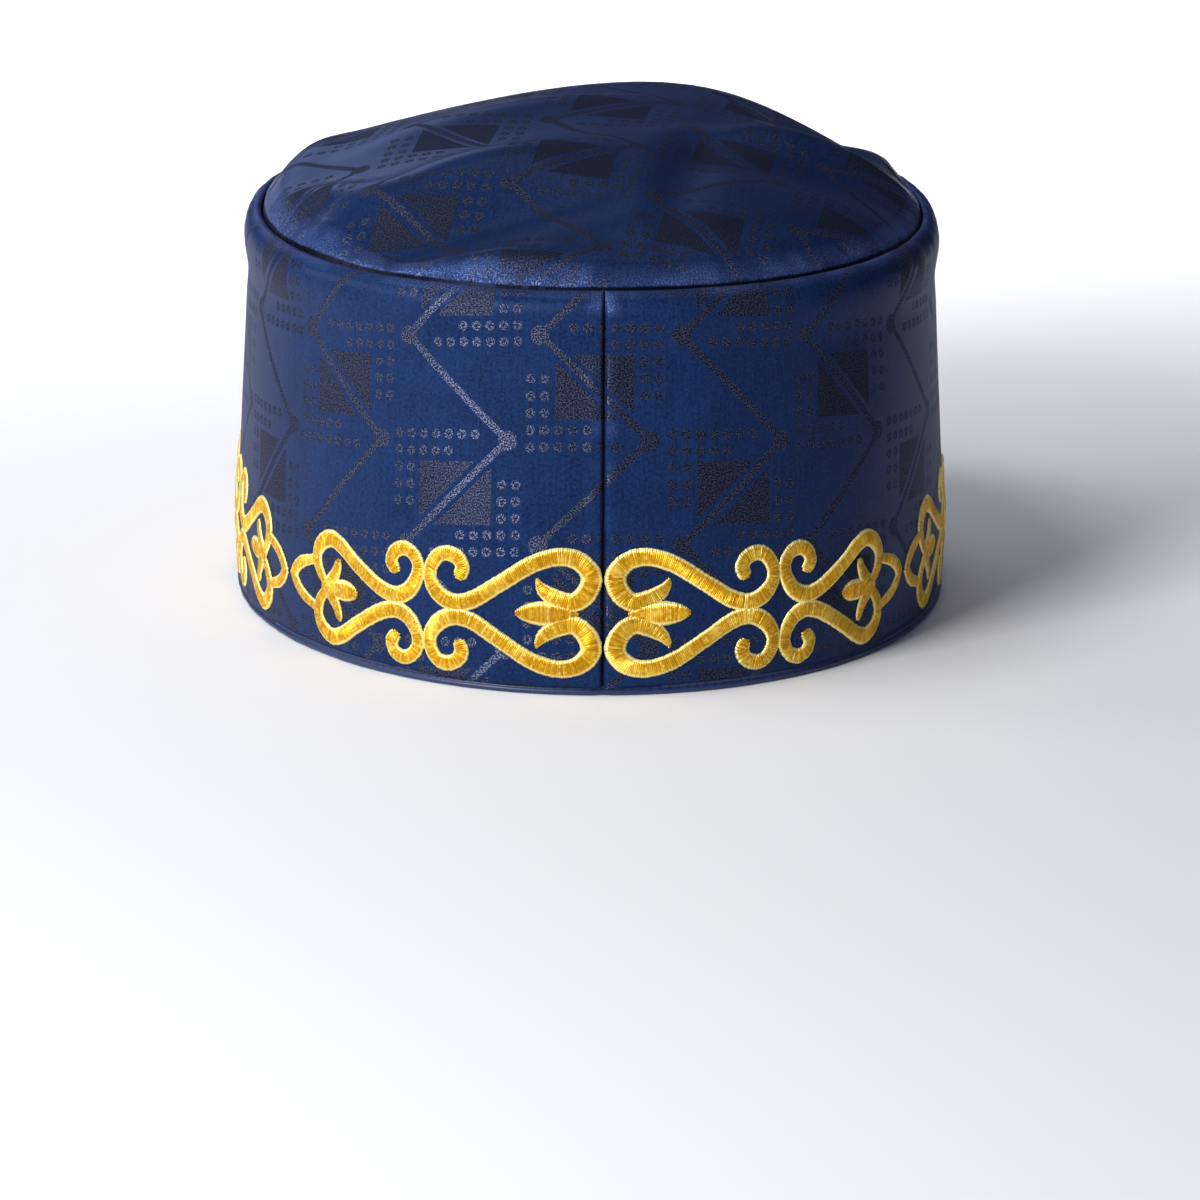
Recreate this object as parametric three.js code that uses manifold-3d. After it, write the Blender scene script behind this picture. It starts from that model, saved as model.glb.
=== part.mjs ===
// A kufi: a soft round cap of navy satin with a rolled crown seam and a gold scroll border.
// Millimetres, +Z up. The origin is the middle of the cap on the surface that its rim rests on.
// -Y is the back of the cap, where the seam of the band lies, and +Y is its front.

import * as THREE from 'three';
import Module from 'manifold-3d';
import { mergeVertices } from 'three/addons/utils/BufferGeometryUtils.js';

// Outline of the rim, and heights
const HALF_WIDTH = 86;
const HALF_LENGTH = 107;
const BAND_HEIGHT = 93.5;
const CROWN_RISE = 22;
const RIM_SQUARENESS = 2.04;
const SEAM_SQUARENESS = 2.18;

// How far the crown seam lies inside the rim, at the sides, and how much more at the two ends
const SEAM_INSET = 6.3;
const END_LEAN = 2.7;

// Cloth, and the clearance between two pieces that meet
const BAND_CLOTH = 2;
const CROWN_CLOTH = 1.6;
const CLEARANCE = 0.3;

// The hem is a narrow double fold, a little thicker than the band that it edges
const HEM_HEIGHT = 2.4;
const HEM_CLOTH = 3.2;
const HEM_PROUD = 0.4;

// The seam at the back of the band shows as a shallow groove
const GROOVE_WIDTH = 1.1;
const GROOVE_DEPTH = 0.8;

// The scroll border: two half motifs, a plain heart and a flower heart, joined back to back
const PLAIN_HEART_LENGTH = 43;
const FLOWER_HEART_LENGTH = 47.6;
const SCROLL_HALF_HEIGHT = 15.3;
const SCROLL_WAVE = 1.2;
const SCROLL_FOOT = 0.2;
const SCROLL_GAP = 0.4;
const RIBBON_WIDTH = 5.2;
const RIBBON_RISE = 1.2;
const RIBBON_SLOPE = 0.5;
// How deep two curls sink into each other where the halves meet: share of half a ribbon's width
// that stays between a curl's middle line and the meeting line
const CURL_MEETING = 0.62;
const SCROLL_PLACES = ['back', 'side', 'front'];

// Fineness of the faces
const COLUMNS = 52;
const TURN_PER_STATION = THREE.MathUtils.degToRad(40);
const LONGEST_STATION = 9;
const CURVE_SAMPLES = 400;

// Side of the band from rim to crown seam. up: share of BAND_HEIGHT. out: share of SEAM_INSET.
// seam: share of GROOVE_DEPTH.
const BAND_SECTIONS = [
  { up: 0, out: 0, seam: 1 },
  { up: 0.214, out: 0.05, seam: 1 },
  { up: 0.342, out: -0.065, seam: 1 },
  { up: 0.61, out: -0.24, seam: 1 },
  { up: 0.77, out: -0.365, seam: 1 },
  { up: 0.845, out: -0.445, seam: 1 },
  { up: 0.925, out: -0.32, seam: 1 },
  { up: 0.968, out: -0.445, seam: 0.6 },
  { up: 0.993, out: -0.7, seam: 0 },
  { up: 1, out: -1, seam: 0 },
];

// Section of the hem, round from the outer bottom edge. deep: share of HEM_CLOTH inwards from its
// outer face. up: share of HEM_HEIGHT. seam: share of GROOVE_DEPTH.
const HEM_SECTION = [
  { deep: 0.22, up: 0, seam: 0 },
  { deep: 0.04, up: 0.25, seam: 0.7 },
  { deep: 0, up: 0.55, seam: 0.7 },
  { deep: 0.08, up: 0.9, seam: 0.7 },
  { deep: 0.2, up: 1, seam: 0.4 },
  { deep: 0.82, up: 1, seam: 0 },
  { deep: 1, up: 0.75, seam: 0 },
  { deep: 1, up: 0.25, seam: 0 },
  { deep: 0.85, up: 0, seam: 0 },
];

// Rings of the crown, as shares of the way from its middle to its seam
const CROWN_RINGS = [0.12, 0.3, 0.46, 0.6, 0.72, 0.82, 0.9, 0.96, 1];
const CROWN_FULLNESS = 2.9;
const CROWN_EDGE_SHARE = 0.06;

// Soft folds of the crown, as smooth swells. across and along: the middle, as shares of the
// crown's half width and half length. long and wide: reach, in the same shares, after a turn in
// degrees. rise: share of CROWN_RISE, and a hollow is negative.
const CROWN_FOLDS = [
  { across: -0.45, along: -0.83, turn: -18, long: 0.36, wide: 0.1, rise: 0.11 },
  { across: -0.3, along: -0.7, turn: -22, long: 0.4, wide: 0.12, rise: -0.13 },
  { across: 0.42, along: -0.88, turn: 14, long: 0.3, wide: 0.09, rise: 0.05 },
  { across: -0.42, along: 0.08, turn: -5, long: 0.42, wide: 0.12, rise: 0.06 },
  { across: 0.66, along: -0.02, turn: 22, long: 0.36, wide: 0.12, rise: 0.09 },
  { across: 0.72, along: 0.26, turn: 18, long: 0.2, wide: 0.16, rise: -0.18 },
  { across: 0.88, along: 0.22, turn: 60, long: 0.2, wide: 0.1, rise: 0.14 },
  { across: -0.45, along: 0.42, turn: 8, long: 0.34, wide: 0.26, rise: -0.08 },
  { across: 0.3, along: 0.42, turn: -10, long: 0.34, wide: 0.24, rise: 0.08 },
  { across: 0.1, along: 0.86, turn: 4, long: 0.4, wide: 0.09, rise: 0.06 },
  { across: 0.15, along: 0.72, turn: 2, long: 0.34, wide: 0.1, rise: -0.07 },
];

// Strokes of the scroll, each a row of stations along its middle line. A half motif runs away
// from the line where two halves meet. away: share of the way from the innermost ribbon to the
// outermost. up: share of the way from the border's middle line to its highest ribbon. wide:
// share of RIBBON_WIDTH. A stroke that is mirrored also runs below the middle line.
const PLAIN_HEART = [
  {
    mirrored: true,
    stations: [
      { away: 0.681, up: 0.6, wide: 0.08 },
      { away: 0.718, up: 0.39, wide: 0.59 },
      { away: 0.805, up: 0.26, wide: 0.71 },
      { away: 0.9, up: 0.24, wide: 0.86 },
      { away: 0.978, up: 0.41, wide: 0.98 },
      { away: 1, up: 0.69, wide: 1 },
      { away: 0.935, up: 0.94, wide: 0.91 },
      { away: 0.825, up: 1.03, wide: 0.86 },
      { away: 0.664, up: 0.91, wide: 0.83 },
      { away: 0.451, up: 0.52, wide: 0.8 },
      { away: 0.271, up: 0.19, wide: 0.85 },
      { away: 0.164, up: 0.13, wide: 0.86 },
      { away: 0.07, up: 0.24, wide: 0.86 },
      { away: 0.003, up: 0.5, wide: 0.76 },
      { away: 0.002, up: 0.74, wide: 0.73 },
      { away: 0.053, up: 0.97, wide: 0.74 },
      { away: 0.12, up: 1.02, wide: 0.75 },
      { away: 0.187, up: 0.93, wide: 0.74 },
      { away: 0.212, up: 0.78, wide: 0.66 },
      { away: 0.187, up: 0.58, wide: 0.34 },
    ],
  },
  {
    mirrored: false,
    stations: [
      { away: 0.95, up: 0, wide: 0.25 },
      { away: 0.827, up: 0, wide: 0.63 },
      { away: 0.705, up: 0, wide: 1 },
      { away: 0.605, up: 0, wide: 0.72 },
      { away: 0.544, up: 0, wide: 0.1 },
    ],
  },
];

const FLOWER_HEART = [
  {
    mirrored: true,
    stations: [
      { away: 0.139, up: 0.56, wide: 0.27 },
      { away: 0.178, up: 0.73, wide: 0.54 },
      { away: 0.159, up: 0.93, wide: 0.68 },
      { away: 0.1, up: 1.02, wide: 0.73 },
      { away: 0.038, up: 0.94, wide: 0.71 },
      { away: 0.002, up: 0.73, wide: 0.71 },
      { away: 0.012, up: 0.5, wide: 0.76 },
      { away: 0.062, up: 0.25, wide: 0.85 },
      { away: 0.139, up: 0.14, wide: 0.85 },
      { away: 0.232, up: 0.2, wide: 0.83 },
      { away: 0.438, up: 0.59, wide: 0.8 },
      { away: 0.558, up: 0.85, wide: 0.83 },
      { away: 0.641, up: 0.93, wide: 0.85 },
      { away: 0.723, up: 0.81, wide: 0.85 },
      { away: 0.764, up: 0.59, wide: 0.78 },
      { away: 0.747, up: 0.32, wide: 0.68 },
      { away: 0.69, up: 0.08, wide: 0.56 },
    ],
  },
  {
    mirrored: true,
    stations: [
      { away: 0.795, up: 0.45, wide: 0.51 },
      { away: 0.922, up: 0.3, wide: 0.64 },
      { away: 0.982, up: 0.14, wide: 0.66 },
      { away: 1.017, up: -0.04, wide: 0.68 },
    ],
  },
  {
    mirrored: true,
    stations: [
      { away: 0.572, up: 0.56, wide: 0.07 },
      { away: 0.589, up: 0.35, wide: 0.52 },
      { away: 0.635, up: 0.12, wide: 0.68 },
      { away: 0.7, up: -0.06, wide: 0.51 },
    ],
  },
  {
    mirrored: false,
    stations: [
      { away: 0.421, up: 0.02, wide: 0.08 },
      { away: 0.464, up: 0.02, wide: 0.68 },
      { away: 0.525, up: 0.02, wide: 0.91 },
      { away: 0.602, up: 0.01, wide: 0.73 },
      { away: 0.715, up: 0.01, wide: 0.55 },
    ],
  },
];

// Colours
const NAVY_SATIN = { color: 0x1b3468, roughness: 0.42, metalness: 0 };
const NAVY_HEM = { color: 0x1a2f60, roughness: 0.45, metalness: 0 };
const GOLD_THREAD = { color: 0xe0a21a, roughness: 0.38, metalness: 0.15 };

// Value of one column of the band's sections at a share of its height
function sectionAt(rise, column) {
  const above = Math.max(1, BAND_SECTIONS.findIndex((row) => row.up >= rise));
  const low = BAND_SECTIONS[above - 1];
  const high = BAND_SECTIONS[above];
  return THREE.MathUtils.mapLinear(rise, low.up, high.up, low[column], high[column]);
}

// Level outline of the band's outer face at a height, moved outwards by a distance
function outlineAt(height, outwards) {
  const rise = THREE.MathUtils.clamp(height / BAND_HEIGHT, 0, 1);
  const reach = sectionAt(rise, 'out') * SEAM_INSET + outwards;
  return {
    across: HALF_WIDTH + reach,
    along: HALF_LENGTH + reach - END_LEAN * rise,
    squareness: THREE.MathUtils.lerp(RIM_SQUARENESS, SEAM_SQUARENESS, rise),
  };
}

// Point of an outline at an angle, counted from the back towards the right side
function outlinePoint(outline, angle, share = 1) {
  const { across, along, squareness } = outline;
  const side = Math.abs(Math.sin(angle) / across) ** squareness;
  const end = Math.abs(Math.cos(angle) / along) ** squareness;
  const radius = share / (side + end) ** (1 / squareness);
  return [radius * Math.sin(angle), -radius * Math.cos(angle)];
}

function pointOnBand(angle, height, outwards) {
  return [...outlinePoint(outlineAt(height, outwards), angle), height];
}

// Way round the band, as a table of length against angle from the back seam to the front
const BORDER_MIDDLE = HEM_HEIGHT + CLEARANCE + SCROLL_FOOT + SCROLL_HALF_HEIGHT;
const WAY_STEPS = 720;
const WAY = [0];
for (let step = 1; step <= WAY_STEPS; step += 1) {
  const [x, y] = outlinePoint(outlineAt(BORDER_MIDDLE, 0), (step / WAY_STEPS) * Math.PI);
  const [px, py] = outlinePoint(outlineAt(BORDER_MIDDLE, 0), ((step - 1) / WAY_STEPS) * Math.PI);
  WAY.push(WAY[step - 1] + Math.hypot(x - px, y - py));
}
const HALF_WAY = WAY[WAY_STEPS];

// Angle at a length round the band from the back seam. Past the front it counts on.
function angleAt(length) {
  const turns = Math.round(length / (2 * HALF_WAY));
  const rest = length - turns * 2 * HALF_WAY;
  const step = Math.max(1, WAY.findIndex((way) => way >= Math.abs(rest)));
  const share = (Math.abs(rest) - WAY[step - 1]) / (WAY[step] - WAY[step - 1]);
  const angle = ((step - 1 + share) / WAY_STEPS) * Math.PI;
  return turns * 2 * Math.PI + Math.sign(rest) * angle;
}

function signedVolume(points, faces) {
  return faces.reduce((sum, [a, b, c]) => {
    const [p, q, r] = [points[a], points[b], points[c]].map((v) => new THREE.Vector3(...v));
    return sum + p.dot(q.cross(r)) / 6;
  }, 0);
}

function geometryOf(points, faces) {
  const geometry = new THREE.BufferGeometry();
  geometry.setAttribute('position', new THREE.Float32BufferAttribute(points.flat(), 3));
  geometry.setIndex(faces.flat());
  geometry.computeVertexNormals();
  return geometry;
}

// Closed body through a row of rings that have as many points each. It runs back into its first
// ring, or else each end is closed by a fan round the middle of its ring.
function skin(rings, runsRound) {
  const count = rings[0].length;
  const points = rings.flat();
  const faces = [];
  const last = runsRound ? rings.length : rings.length - 1;
  for (let ring = 0; ring < last; ring += 1) {
    const here = ring * count;
    const next = ((ring + 1) % rings.length) * count;
    for (let spot = 0; spot < count; spot += 1) {
      const after = (spot + 1) % count;
      faces.push([here + spot, here + after, next + after], [here + spot, next + after, next + spot]);
    }
  }
  if (!runsRound) {
    [0, rings.length - 1].forEach((ring) => {
      const middle = [0, 1, 2].map((axis) => rings[ring].reduce((sum, p) => sum + p[axis], 0) / count);
      points.push(middle);
      for (let spot = 0; spot < count; spot += 1) {
        const edge = [ring * count + spot, ring * count + ((spot + 1) % count)];
        faces.push(ring === 0 ? [points.length - 1, edge[1], edge[0]] : [points.length - 1, ...edge]);
      }
    });
  }
  const inward = signedVolume(points, faces) < 0;
  return geometryOf(points, inward ? faces.map(([a, b, c]) => [a, c, b]) : faces);
}

function pieceOf(name, geometry, finish) {
  const piece = new THREE.Mesh(geometry, new THREE.MeshStandardMaterial(finish));
  piece.name = name;
  return piece;
}

// Columns round the cap, evenly spaced from the back seam
function columns() {
  return Array.from({ length: COLUMNS }, (_, column) => (
    { angle: angleAt((column / COLUMNS) * 2 * HALF_WAY), groove: column === 0 ? 1 : 0 }
  ));
}

// The same columns with one more on each side of the back seam, so that it shows as a groove
function seamedColumns() {
  const edge = angleAt(GROOVE_WIDTH / 2);
  const [seam, ...others] = columns();
  return [seam, { angle: edge, groove: 0 }, ...others, { angle: 2 * Math.PI - edge, groove: 0 }];
}

// Outer and inner edge of the band's wall, as rows of height and distance outwards of the rim
function bandWall() {
  const foot = HEM_HEIGHT + CLEARANCE;
  const rows = BAND_SECTIONS.filter((row) => row.up * BAND_HEIGHT > foot + HEM_HEIGHT)
    .map((row) => ({ height: row.up * BAND_HEIGHT, out: row.out * SEAM_INSET, seam: row.seam }));
  rows.unshift({ height: foot, out: sectionAt(foot / BAND_HEIGHT, 'out') * SEAM_INSET, seam: 1 });
  const inner = rows.map((row, at) => {
    const below = rows[Math.max(at - 1, 0)];
    const above = rows[Math.min(at + 1, rows.length - 1)];
    if (at === 0) return { height: row.height, out: row.out - BAND_CLOTH };
    if (at === rows.length - 1) return { height: row.height - BAND_CLOTH, out: row.out };
    const run = Math.hypot(above.height - below.height, above.out - below.out);
    return {
      height: row.height + (BAND_CLOTH * (above.out - below.out)) / run,
      out: row.out - (BAND_CLOTH * (above.height - below.height)) / run,
    };
  });
  return { outer: rows, inner };
}

function sideBand() {
  const { outer, inner } = bandWall();
  const rings = seamedColumns().map(({ angle, groove }) => {
    const place = (row, inwards) => {
      const extra = row.out - sectionAt(row.height / BAND_HEIGHT, 'out') * SEAM_INSET;
      return pointOnBand(angle, row.height, extra - inwards);
    };
    const outside = outer.map((row) => place(row, groove * row.seam * GROOVE_DEPTH));
    const inside = inner.map((row) => place(row, 0));
    return [...outside, ...inside.reverse()];
  });
  return pieceOf('side_band', skin(rings, true), NAVY_SATIN);
}

function rimHem() {
  const rings = seamedColumns().map(({ angle, groove }) => HEM_SECTION.map((row) => {
    const outwards = HEM_PROUD - row.deep * HEM_CLOTH - groove * row.seam * GROOVE_DEPTH;
    return pointOnBand(angle, row.up * HEM_HEIGHT, outwards);
  }));
  return pieceOf('rim_hem', skin(rings, true), NAVY_HEM);
}

// Height of the crown's outer face over the seam, at a place given in shares of the crown
function crownHeight(across, along, share) {
  const dome = CROWN_RISE * (1 - share ** CROWN_FULLNESS);
  const fade = THREE.MathUtils.clamp((1 - share) / CROWN_EDGE_SHARE, 0, 1);
  const folds = CROWN_FOLDS.reduce((sum, fold) => {
    const spot = new THREE.Vector2(across - fold.across, along - fold.along);
    spot.rotateAround(new THREE.Vector2(), -THREE.MathUtils.degToRad(fold.turn));
    return sum + fold.rise * Math.exp(-((spot.x / fold.long) ** 2) - (spot.y / fold.wide) ** 2);
  }, 0);
  return dome + fade * folds * CROWN_RISE;
}

function crown() {
  const seam = outlineAt(BAND_HEIGHT, -CLEARANCE);
  const ring = (share, drop) => columns().map(({ angle }) => {
    const [x, y] = outlinePoint(seam, angle, share);
    const rise = crownHeight(x / seam.across, y / seam.along, share);
    return [x, y, BAND_HEIGHT + rise - drop];
  });
  const outside = CROWN_RINGS.map((share) => ring(share, 0));
  const inside = CROWN_RINGS.map((share) => ring(share, CROWN_CLOTH)).reverse();
  return pieceOf('crown', skin([...outside, ...inside], false), NAVY_SATIN);
}

// Points along a stroke, where it has turned enough or run far enough since the last one kept
function stationsOf(curve) {
  const fine = curve.getPoints(CURVE_SAMPLES);
  const kept = [fine[0]];
  let heading = null;
  fine.slice(1, -1).forEach((point, at) => {
    const next = fine[at + 2];
    const way = new THREE.Vector2(next.x - point.x, next.y - point.y);
    heading ??= way;
    const turned = Math.abs(heading.clone().cross(way)) / (heading.length() * way.length());
    const lastKept = kept[kept.length - 1];
    const run = Math.hypot(point.x - lastKept.x, point.y - lastKept.y);
    if (turned > Math.sin(TURN_PER_STATION) || run > LONGEST_STATION) {
      kept.push(point);
      heading = way;
    }
  });
  kept.push(fine[fine.length - 1]);
  return kept;
}

// Flat ribbon with sloped sides along a curve whose points hold along, up and width
function ribbon(curve) {
  const stations = stationsOf(curve);
  const rings = stations.map((station, at) => {
    const before = stations[Math.max(at - 1, 0)];
    const after = stations[Math.min(at + 1, stations.length - 1)];
    const side = new THREE.Vector2(before.y - after.y, after.x - before.x).normalize();
    const foot = station.z / 2;
    const top = Math.max(foot - RIBBON_SLOPE, foot / 2);
    return [[-foot, 0], [foot, 0], [top, RIBBON_RISE], [-top, RIBBON_RISE]]
      .map(([off, rise]) => [station.x + side.x * off, station.y + side.y * off, rise]);
  });
  return skin(rings, false);
}

const wasm = await Module();
wasm.setup();

// Numbers of a point, and corners of a face
const STRIDE = 3;

function inThrees(numbers) {
  const count = numbers.length / STRIDE;
  return Array.from({ length: count }, (_, at) => [...numbers.slice(at * STRIDE, (at + 1) * STRIDE)]);
}

function solidOf(geometry) {
  const bare = geometry.clone();
  bare.deleteAttribute('normal');
  const merged = mergeVertices(bare);
  return new wasm.Manifold(new wasm.Mesh({
    numProp: STRIDE,
    vertProperties: new Float32Array(merged.attributes.position.array),
    triVerts: new Uint32Array(merged.index.array),
  }));
}

// Half motif laid out flat, from the place where two halves meet at `start`, running `heading`
// (1 to the right, -1 to the left) and lengthened by `stretch`. The curls meet as deep as before.
function halfMotif({ strokes, length, wave }, start, heading, stretch) {
  const innermost = (CURL_MEETING * RIBBON_WIDTH) / 2;
  const outermost = stretch * length - (RIBBON_WIDTH + SCROLL_GAP) / 2;
  const highest = SCROLL_HALF_HEIGHT - RIBBON_WIDTH / 2;
  const curves = strokes.flatMap(({ mirrored, stations }) => (mirrored ? [1, -1] : [1]).map((side) => {
    const points = stations.map(({ away, up, wide }) => new THREE.Vector3(
      start + heading * THREE.MathUtils.lerp(innermost, outermost, away),
      BORDER_MIDDLE + wave * Math.sin((Math.PI / 2) * away) + side * up * highest,
      wide * RIBBON_WIDTH,
    ));
    return new THREE.CatmullRomCurve3(points, false, 'centripetal');
  }));
  return curves.map((curve) => solidOf(ribbon(curve)));
}

const PLAIN_HALF = { strokes: PLAIN_HEART, length: PLAIN_HEART_LENGTH, wave: SCROLL_WAVE };
const FLOWER_HALF = { strokes: FLOWER_HEART, length: FLOWER_HEART_LENGTH, wave: -SCROLL_WAVE };

// One unit of the border: two half motifs joined where they meet, bent round the band
function scrollUnit(name, meeting, left, right, stretch) {
  const solids = [
    ...halfMotif(left, meeting, -1, stretch),
    ...halfMotif(right, meeting, 1, stretch),
  ];
  const { vertProperties, triVerts } = solids.reduce((joined, solid) => joined.add(solid)).getMesh();
  const points = inThrees(vertProperties).map(([along, height, rise]) => (
    pointOnBand(angleAt(along), height, CLEARANCE + rise)
  ));
  return pieceOf(name, geometryOf(points, inThrees(triVerts)), GOLD_THREAD);
}

// The border runs from the back seam round each side to one unit across the front. The pair at
// the back keep their own length, and the other units share what is left of the way round.
function scrollBorder() {
  const unit = PLAIN_HEART_LENGTH + FLOWER_HEART_LENGTH;
  const rest = HALF_WAY - unit;
  const stretch = rest / ((SCROLL_PLACES.length - 1) * unit + FLOWER_HEART_LENGTH);
  const units = [];
  let start = 0;
  SCROLL_PLACES.forEach((place, at) => {
    const scale = at === 0 ? 1 : stretch;
    const plainFirst = at % 2 === 0;
    const meeting = start + scale * (plainFirst ? PLAIN_HEART_LENGTH : FLOWER_HEART_LENGTH);
    const near = plainFirst ? PLAIN_HALF : FLOWER_HALF;
    const far = plainFirst ? FLOWER_HALF : PLAIN_HALF;
    units.push(scrollUnit(`scroll_${place}_right`, meeting, near, far, scale));
    units.push(scrollUnit(`scroll_${place}_left`, -meeting, far, near, scale));
    start += scale * unit;
  });
  units.push(scrollUnit('scroll_front', HALF_WAY, FLOWER_HALF, FLOWER_HALF, stretch));
  return units;
}

const kufi = new THREE.Group();
kufi.add(sideBand(), crown(), rimHem(), ...scrollBorder());

export default kufi;
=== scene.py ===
# %% [markdown]
# # A kufi of navy satin with a gold scroll border
# A kufi is a soft round cap. This one is cut from tone-on-tone jacquard satin: an upright band with
# a seam at the back, a domed crown sewn into it, a narrow rolled hem, and a border of scrolls in
# satin stitch. This lesson makes each piece again, finer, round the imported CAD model. The CAD
# model holds the sizes and never moves. Lengths are millimetres until a vertex is written.

# %% Load the CAD model as a fixed frame
import math

import bmesh
import bpy
import numpy as np
from mathutils import Matrix, Vector, noise


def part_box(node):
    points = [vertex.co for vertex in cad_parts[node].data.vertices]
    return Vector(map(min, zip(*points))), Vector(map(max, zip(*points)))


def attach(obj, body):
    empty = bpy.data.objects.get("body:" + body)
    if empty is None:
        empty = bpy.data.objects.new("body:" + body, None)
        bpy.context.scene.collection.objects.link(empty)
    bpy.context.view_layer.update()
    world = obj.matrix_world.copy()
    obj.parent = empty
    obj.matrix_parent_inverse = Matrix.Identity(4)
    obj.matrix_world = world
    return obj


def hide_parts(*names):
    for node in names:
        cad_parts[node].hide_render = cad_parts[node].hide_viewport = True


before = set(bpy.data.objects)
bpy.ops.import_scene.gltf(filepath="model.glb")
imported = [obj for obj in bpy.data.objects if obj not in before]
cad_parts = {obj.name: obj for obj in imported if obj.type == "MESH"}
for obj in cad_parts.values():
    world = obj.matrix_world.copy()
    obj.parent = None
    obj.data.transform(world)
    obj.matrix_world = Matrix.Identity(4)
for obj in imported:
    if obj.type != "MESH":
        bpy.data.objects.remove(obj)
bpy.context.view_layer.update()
bpy.ops.object.select_all(action="DESELECT")
MM = 0.001

# %% [markdown]
# ## The camera
# The picture looks at the back of the cap from a little above. A long lens from far away keeps
# the cap's two sides nearly parallel. A camera could be pushed about by eye until the cap fits,
# but six numbers settle such a view for good: how far away the camera stands, how high, how far
# round, how much it leans, its focal length, and which pixel one known point falls on. The known
# point is the middle of the band's height on the cap's own axis.

# %% Put the camera where the picture was taken from
CAMERA_DISTANCE = 1400
CAMERA_RISE = math.radians(13.4)
CAMERA_TURN = math.radians(-1.75)
CAMERA_LEAN = math.radians(0.35)
PICTURE_SIZE = 1200
FOCAL_PIXELS = 5723
KNOWN_PIXEL = (590.4, 388.5)
KNOWN_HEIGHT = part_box("side_band")[1].z / MM / 2
SENSOR_WIDTH = 36

back = Vector((math.sin(CAMERA_TURN) * math.cos(CAMERA_RISE),
               -math.cos(CAMERA_TURN) * math.cos(CAMERA_RISE), math.sin(CAMERA_RISE)))
level = Vector((math.cos(CAMERA_TURN), math.sin(CAMERA_TURN), 0))
upright = back.cross(level)
picture_right = level * math.cos(CAMERA_LEAN) + upright * math.sin(CAMERA_LEAN)
picture_up = upright * math.cos(CAMERA_LEAN) - level * math.sin(CAMERA_LEAN)
aside = PICTURE_SIZE / 2 - KNOWN_PIXEL[0]
above = KNOWN_PIXEL[1] - PICTURE_SIZE / 2
sight = (picture_right * aside + picture_up * above - back * FOCAL_PIXELS).normalized()
camera_x = picture_up.cross(-sight).normalized()
camera_y = (-sight).cross(camera_x)

camera = bpy.data.objects.new("camera", bpy.data.cameras.new("camera"))
bpy.context.collection.objects.link(camera)
camera.data.sensor_width = SENSOR_WIDTH
camera.data.lens = FOCAL_PIXELS / PICTURE_SIZE * SENSOR_WIDTH
place = (Vector((0, 0, KNOWN_HEIGHT)) + back * CAMERA_DISTANCE) * MM
turned = Matrix((camera_x, camera_y, -sight)).transposed().to_4x4()
camera.matrix_world = Matrix.Translation(place) @ turned
bpy.context.scene.camera = camera
print("lens", round(camera.data.lens, 1), "mm, at", [round(value, 3) for value in place])

# %% [markdown]
# ## The form of the cap
# Seen from above the cap is a rounded oval, a little squarer than an ellipse. Seen from the side
# its band leans inwards, with a slack waist under the crown seam. Both could be drawn as curves by
# hand. Here a formula gives the oval and a short table gives the side, because a place on the
# cloth can then be named as a tailor would: so far round from the back seam, and so far up.

# %% Sizes of the cap
HEM_HEIGHT = 2.4
HEM_THICKNESS = 3.2
HEM_PROUD = 0.4
hem_low, hem_high = (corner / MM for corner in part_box("rim_hem"))
HALF_WIDTH = (hem_high.x - hem_low.x) / 2 - HEM_PROUD
HALF_LENGTH = (hem_high.y - hem_low.y) / 2 - HEM_PROUD
BAND_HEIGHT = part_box("side_band")[1].z / MM
CROWN_RISE = 22
RIM_SQUARENESS = 2.04
SEAM_SQUARENESS = 2.18
SEAM_INSET = 6.3
END_LEAN = 2.7
BAND_THICKNESS = 2
CROWN_THICKNESS = 1.6
SEAM_DEPTH = 1.6

# Side of the band from rim to crown seam, the last row in the seam's groove.
# up: share of BAND_HEIGHT. out: share of SEAM_INSET.
BAND_SIDE = [
    (0, 0), (0.107, 0.03), (0.214, 0.05), (0.342, -0.065), (0.48, -0.155), (0.61, -0.24),
    (0.77, -0.365), (0.845, -0.445), (0.925, -0.32), (0.962, -0.405), (0.984, -0.6),
    (0.994, -0.8), (0.995, -0.92), (0.989, -0.99), (0.98, -1.02),
]
print("half width", round(HALF_WIDTH, 2), "half length", round(HALF_LENGTH, 2),
      "band height", round(BAND_HEIGHT, 2))

# %% A smooth curve through a few points
def curve_through(points, steps):
    """Centripetal curve through points, with this many steps in each span."""
    points = np.asarray(points, dtype=float)
    ends = 2 * points[0] - points[1], 2 * points[-1] - points[-2]
    padded = np.vstack([ends[0], points, ends[1]])
    gaps = np.sqrt(np.linalg.norm(np.diff(padded, axis=0), axis=1))
    share = np.linspace(0, 1, steps, endpoint=False)[:, None]
    spans = []
    for at in range(len(points) - 1):
        before, start, stop, after = padded[at:at + 4]
        gap_in, gap, gap_out = gaps[at:at + 3]
        leave = (start - before) / gap_in - (stop - before) / (gap_in + gap) + (stop - start) / gap
        arrive = (stop - start) / gap - (after - start) / (gap + gap_out) + (after - stop) / gap_out
        leave, arrive = leave * gap, arrive * gap
        bend = 3 * (stop - start) - 2 * leave - arrive
        twist = 2 * (start - stop) + leave + arrive
        spans.append(start + leave * share + bend * share ** 2 + twist * share ** 3)
    return np.vstack([*spans, points[-1:]])


def way_along(points):
    """Length of the way to each point of a row of points."""
    return np.concatenate([[0], np.cumsum(np.linalg.norm(np.diff(points, axis=0), axis=1))])


SIDE_STEPS = 12
side_points = [(out * SEAM_INSET, up * BAND_HEIGHT) for up, out in BAND_SIDE]
side_curve = curve_through(side_points, SIDE_STEPS)
side_way = way_along(side_curve)
print("way up the band's side:", round(side_way[-1], 1), "mm")

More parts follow.
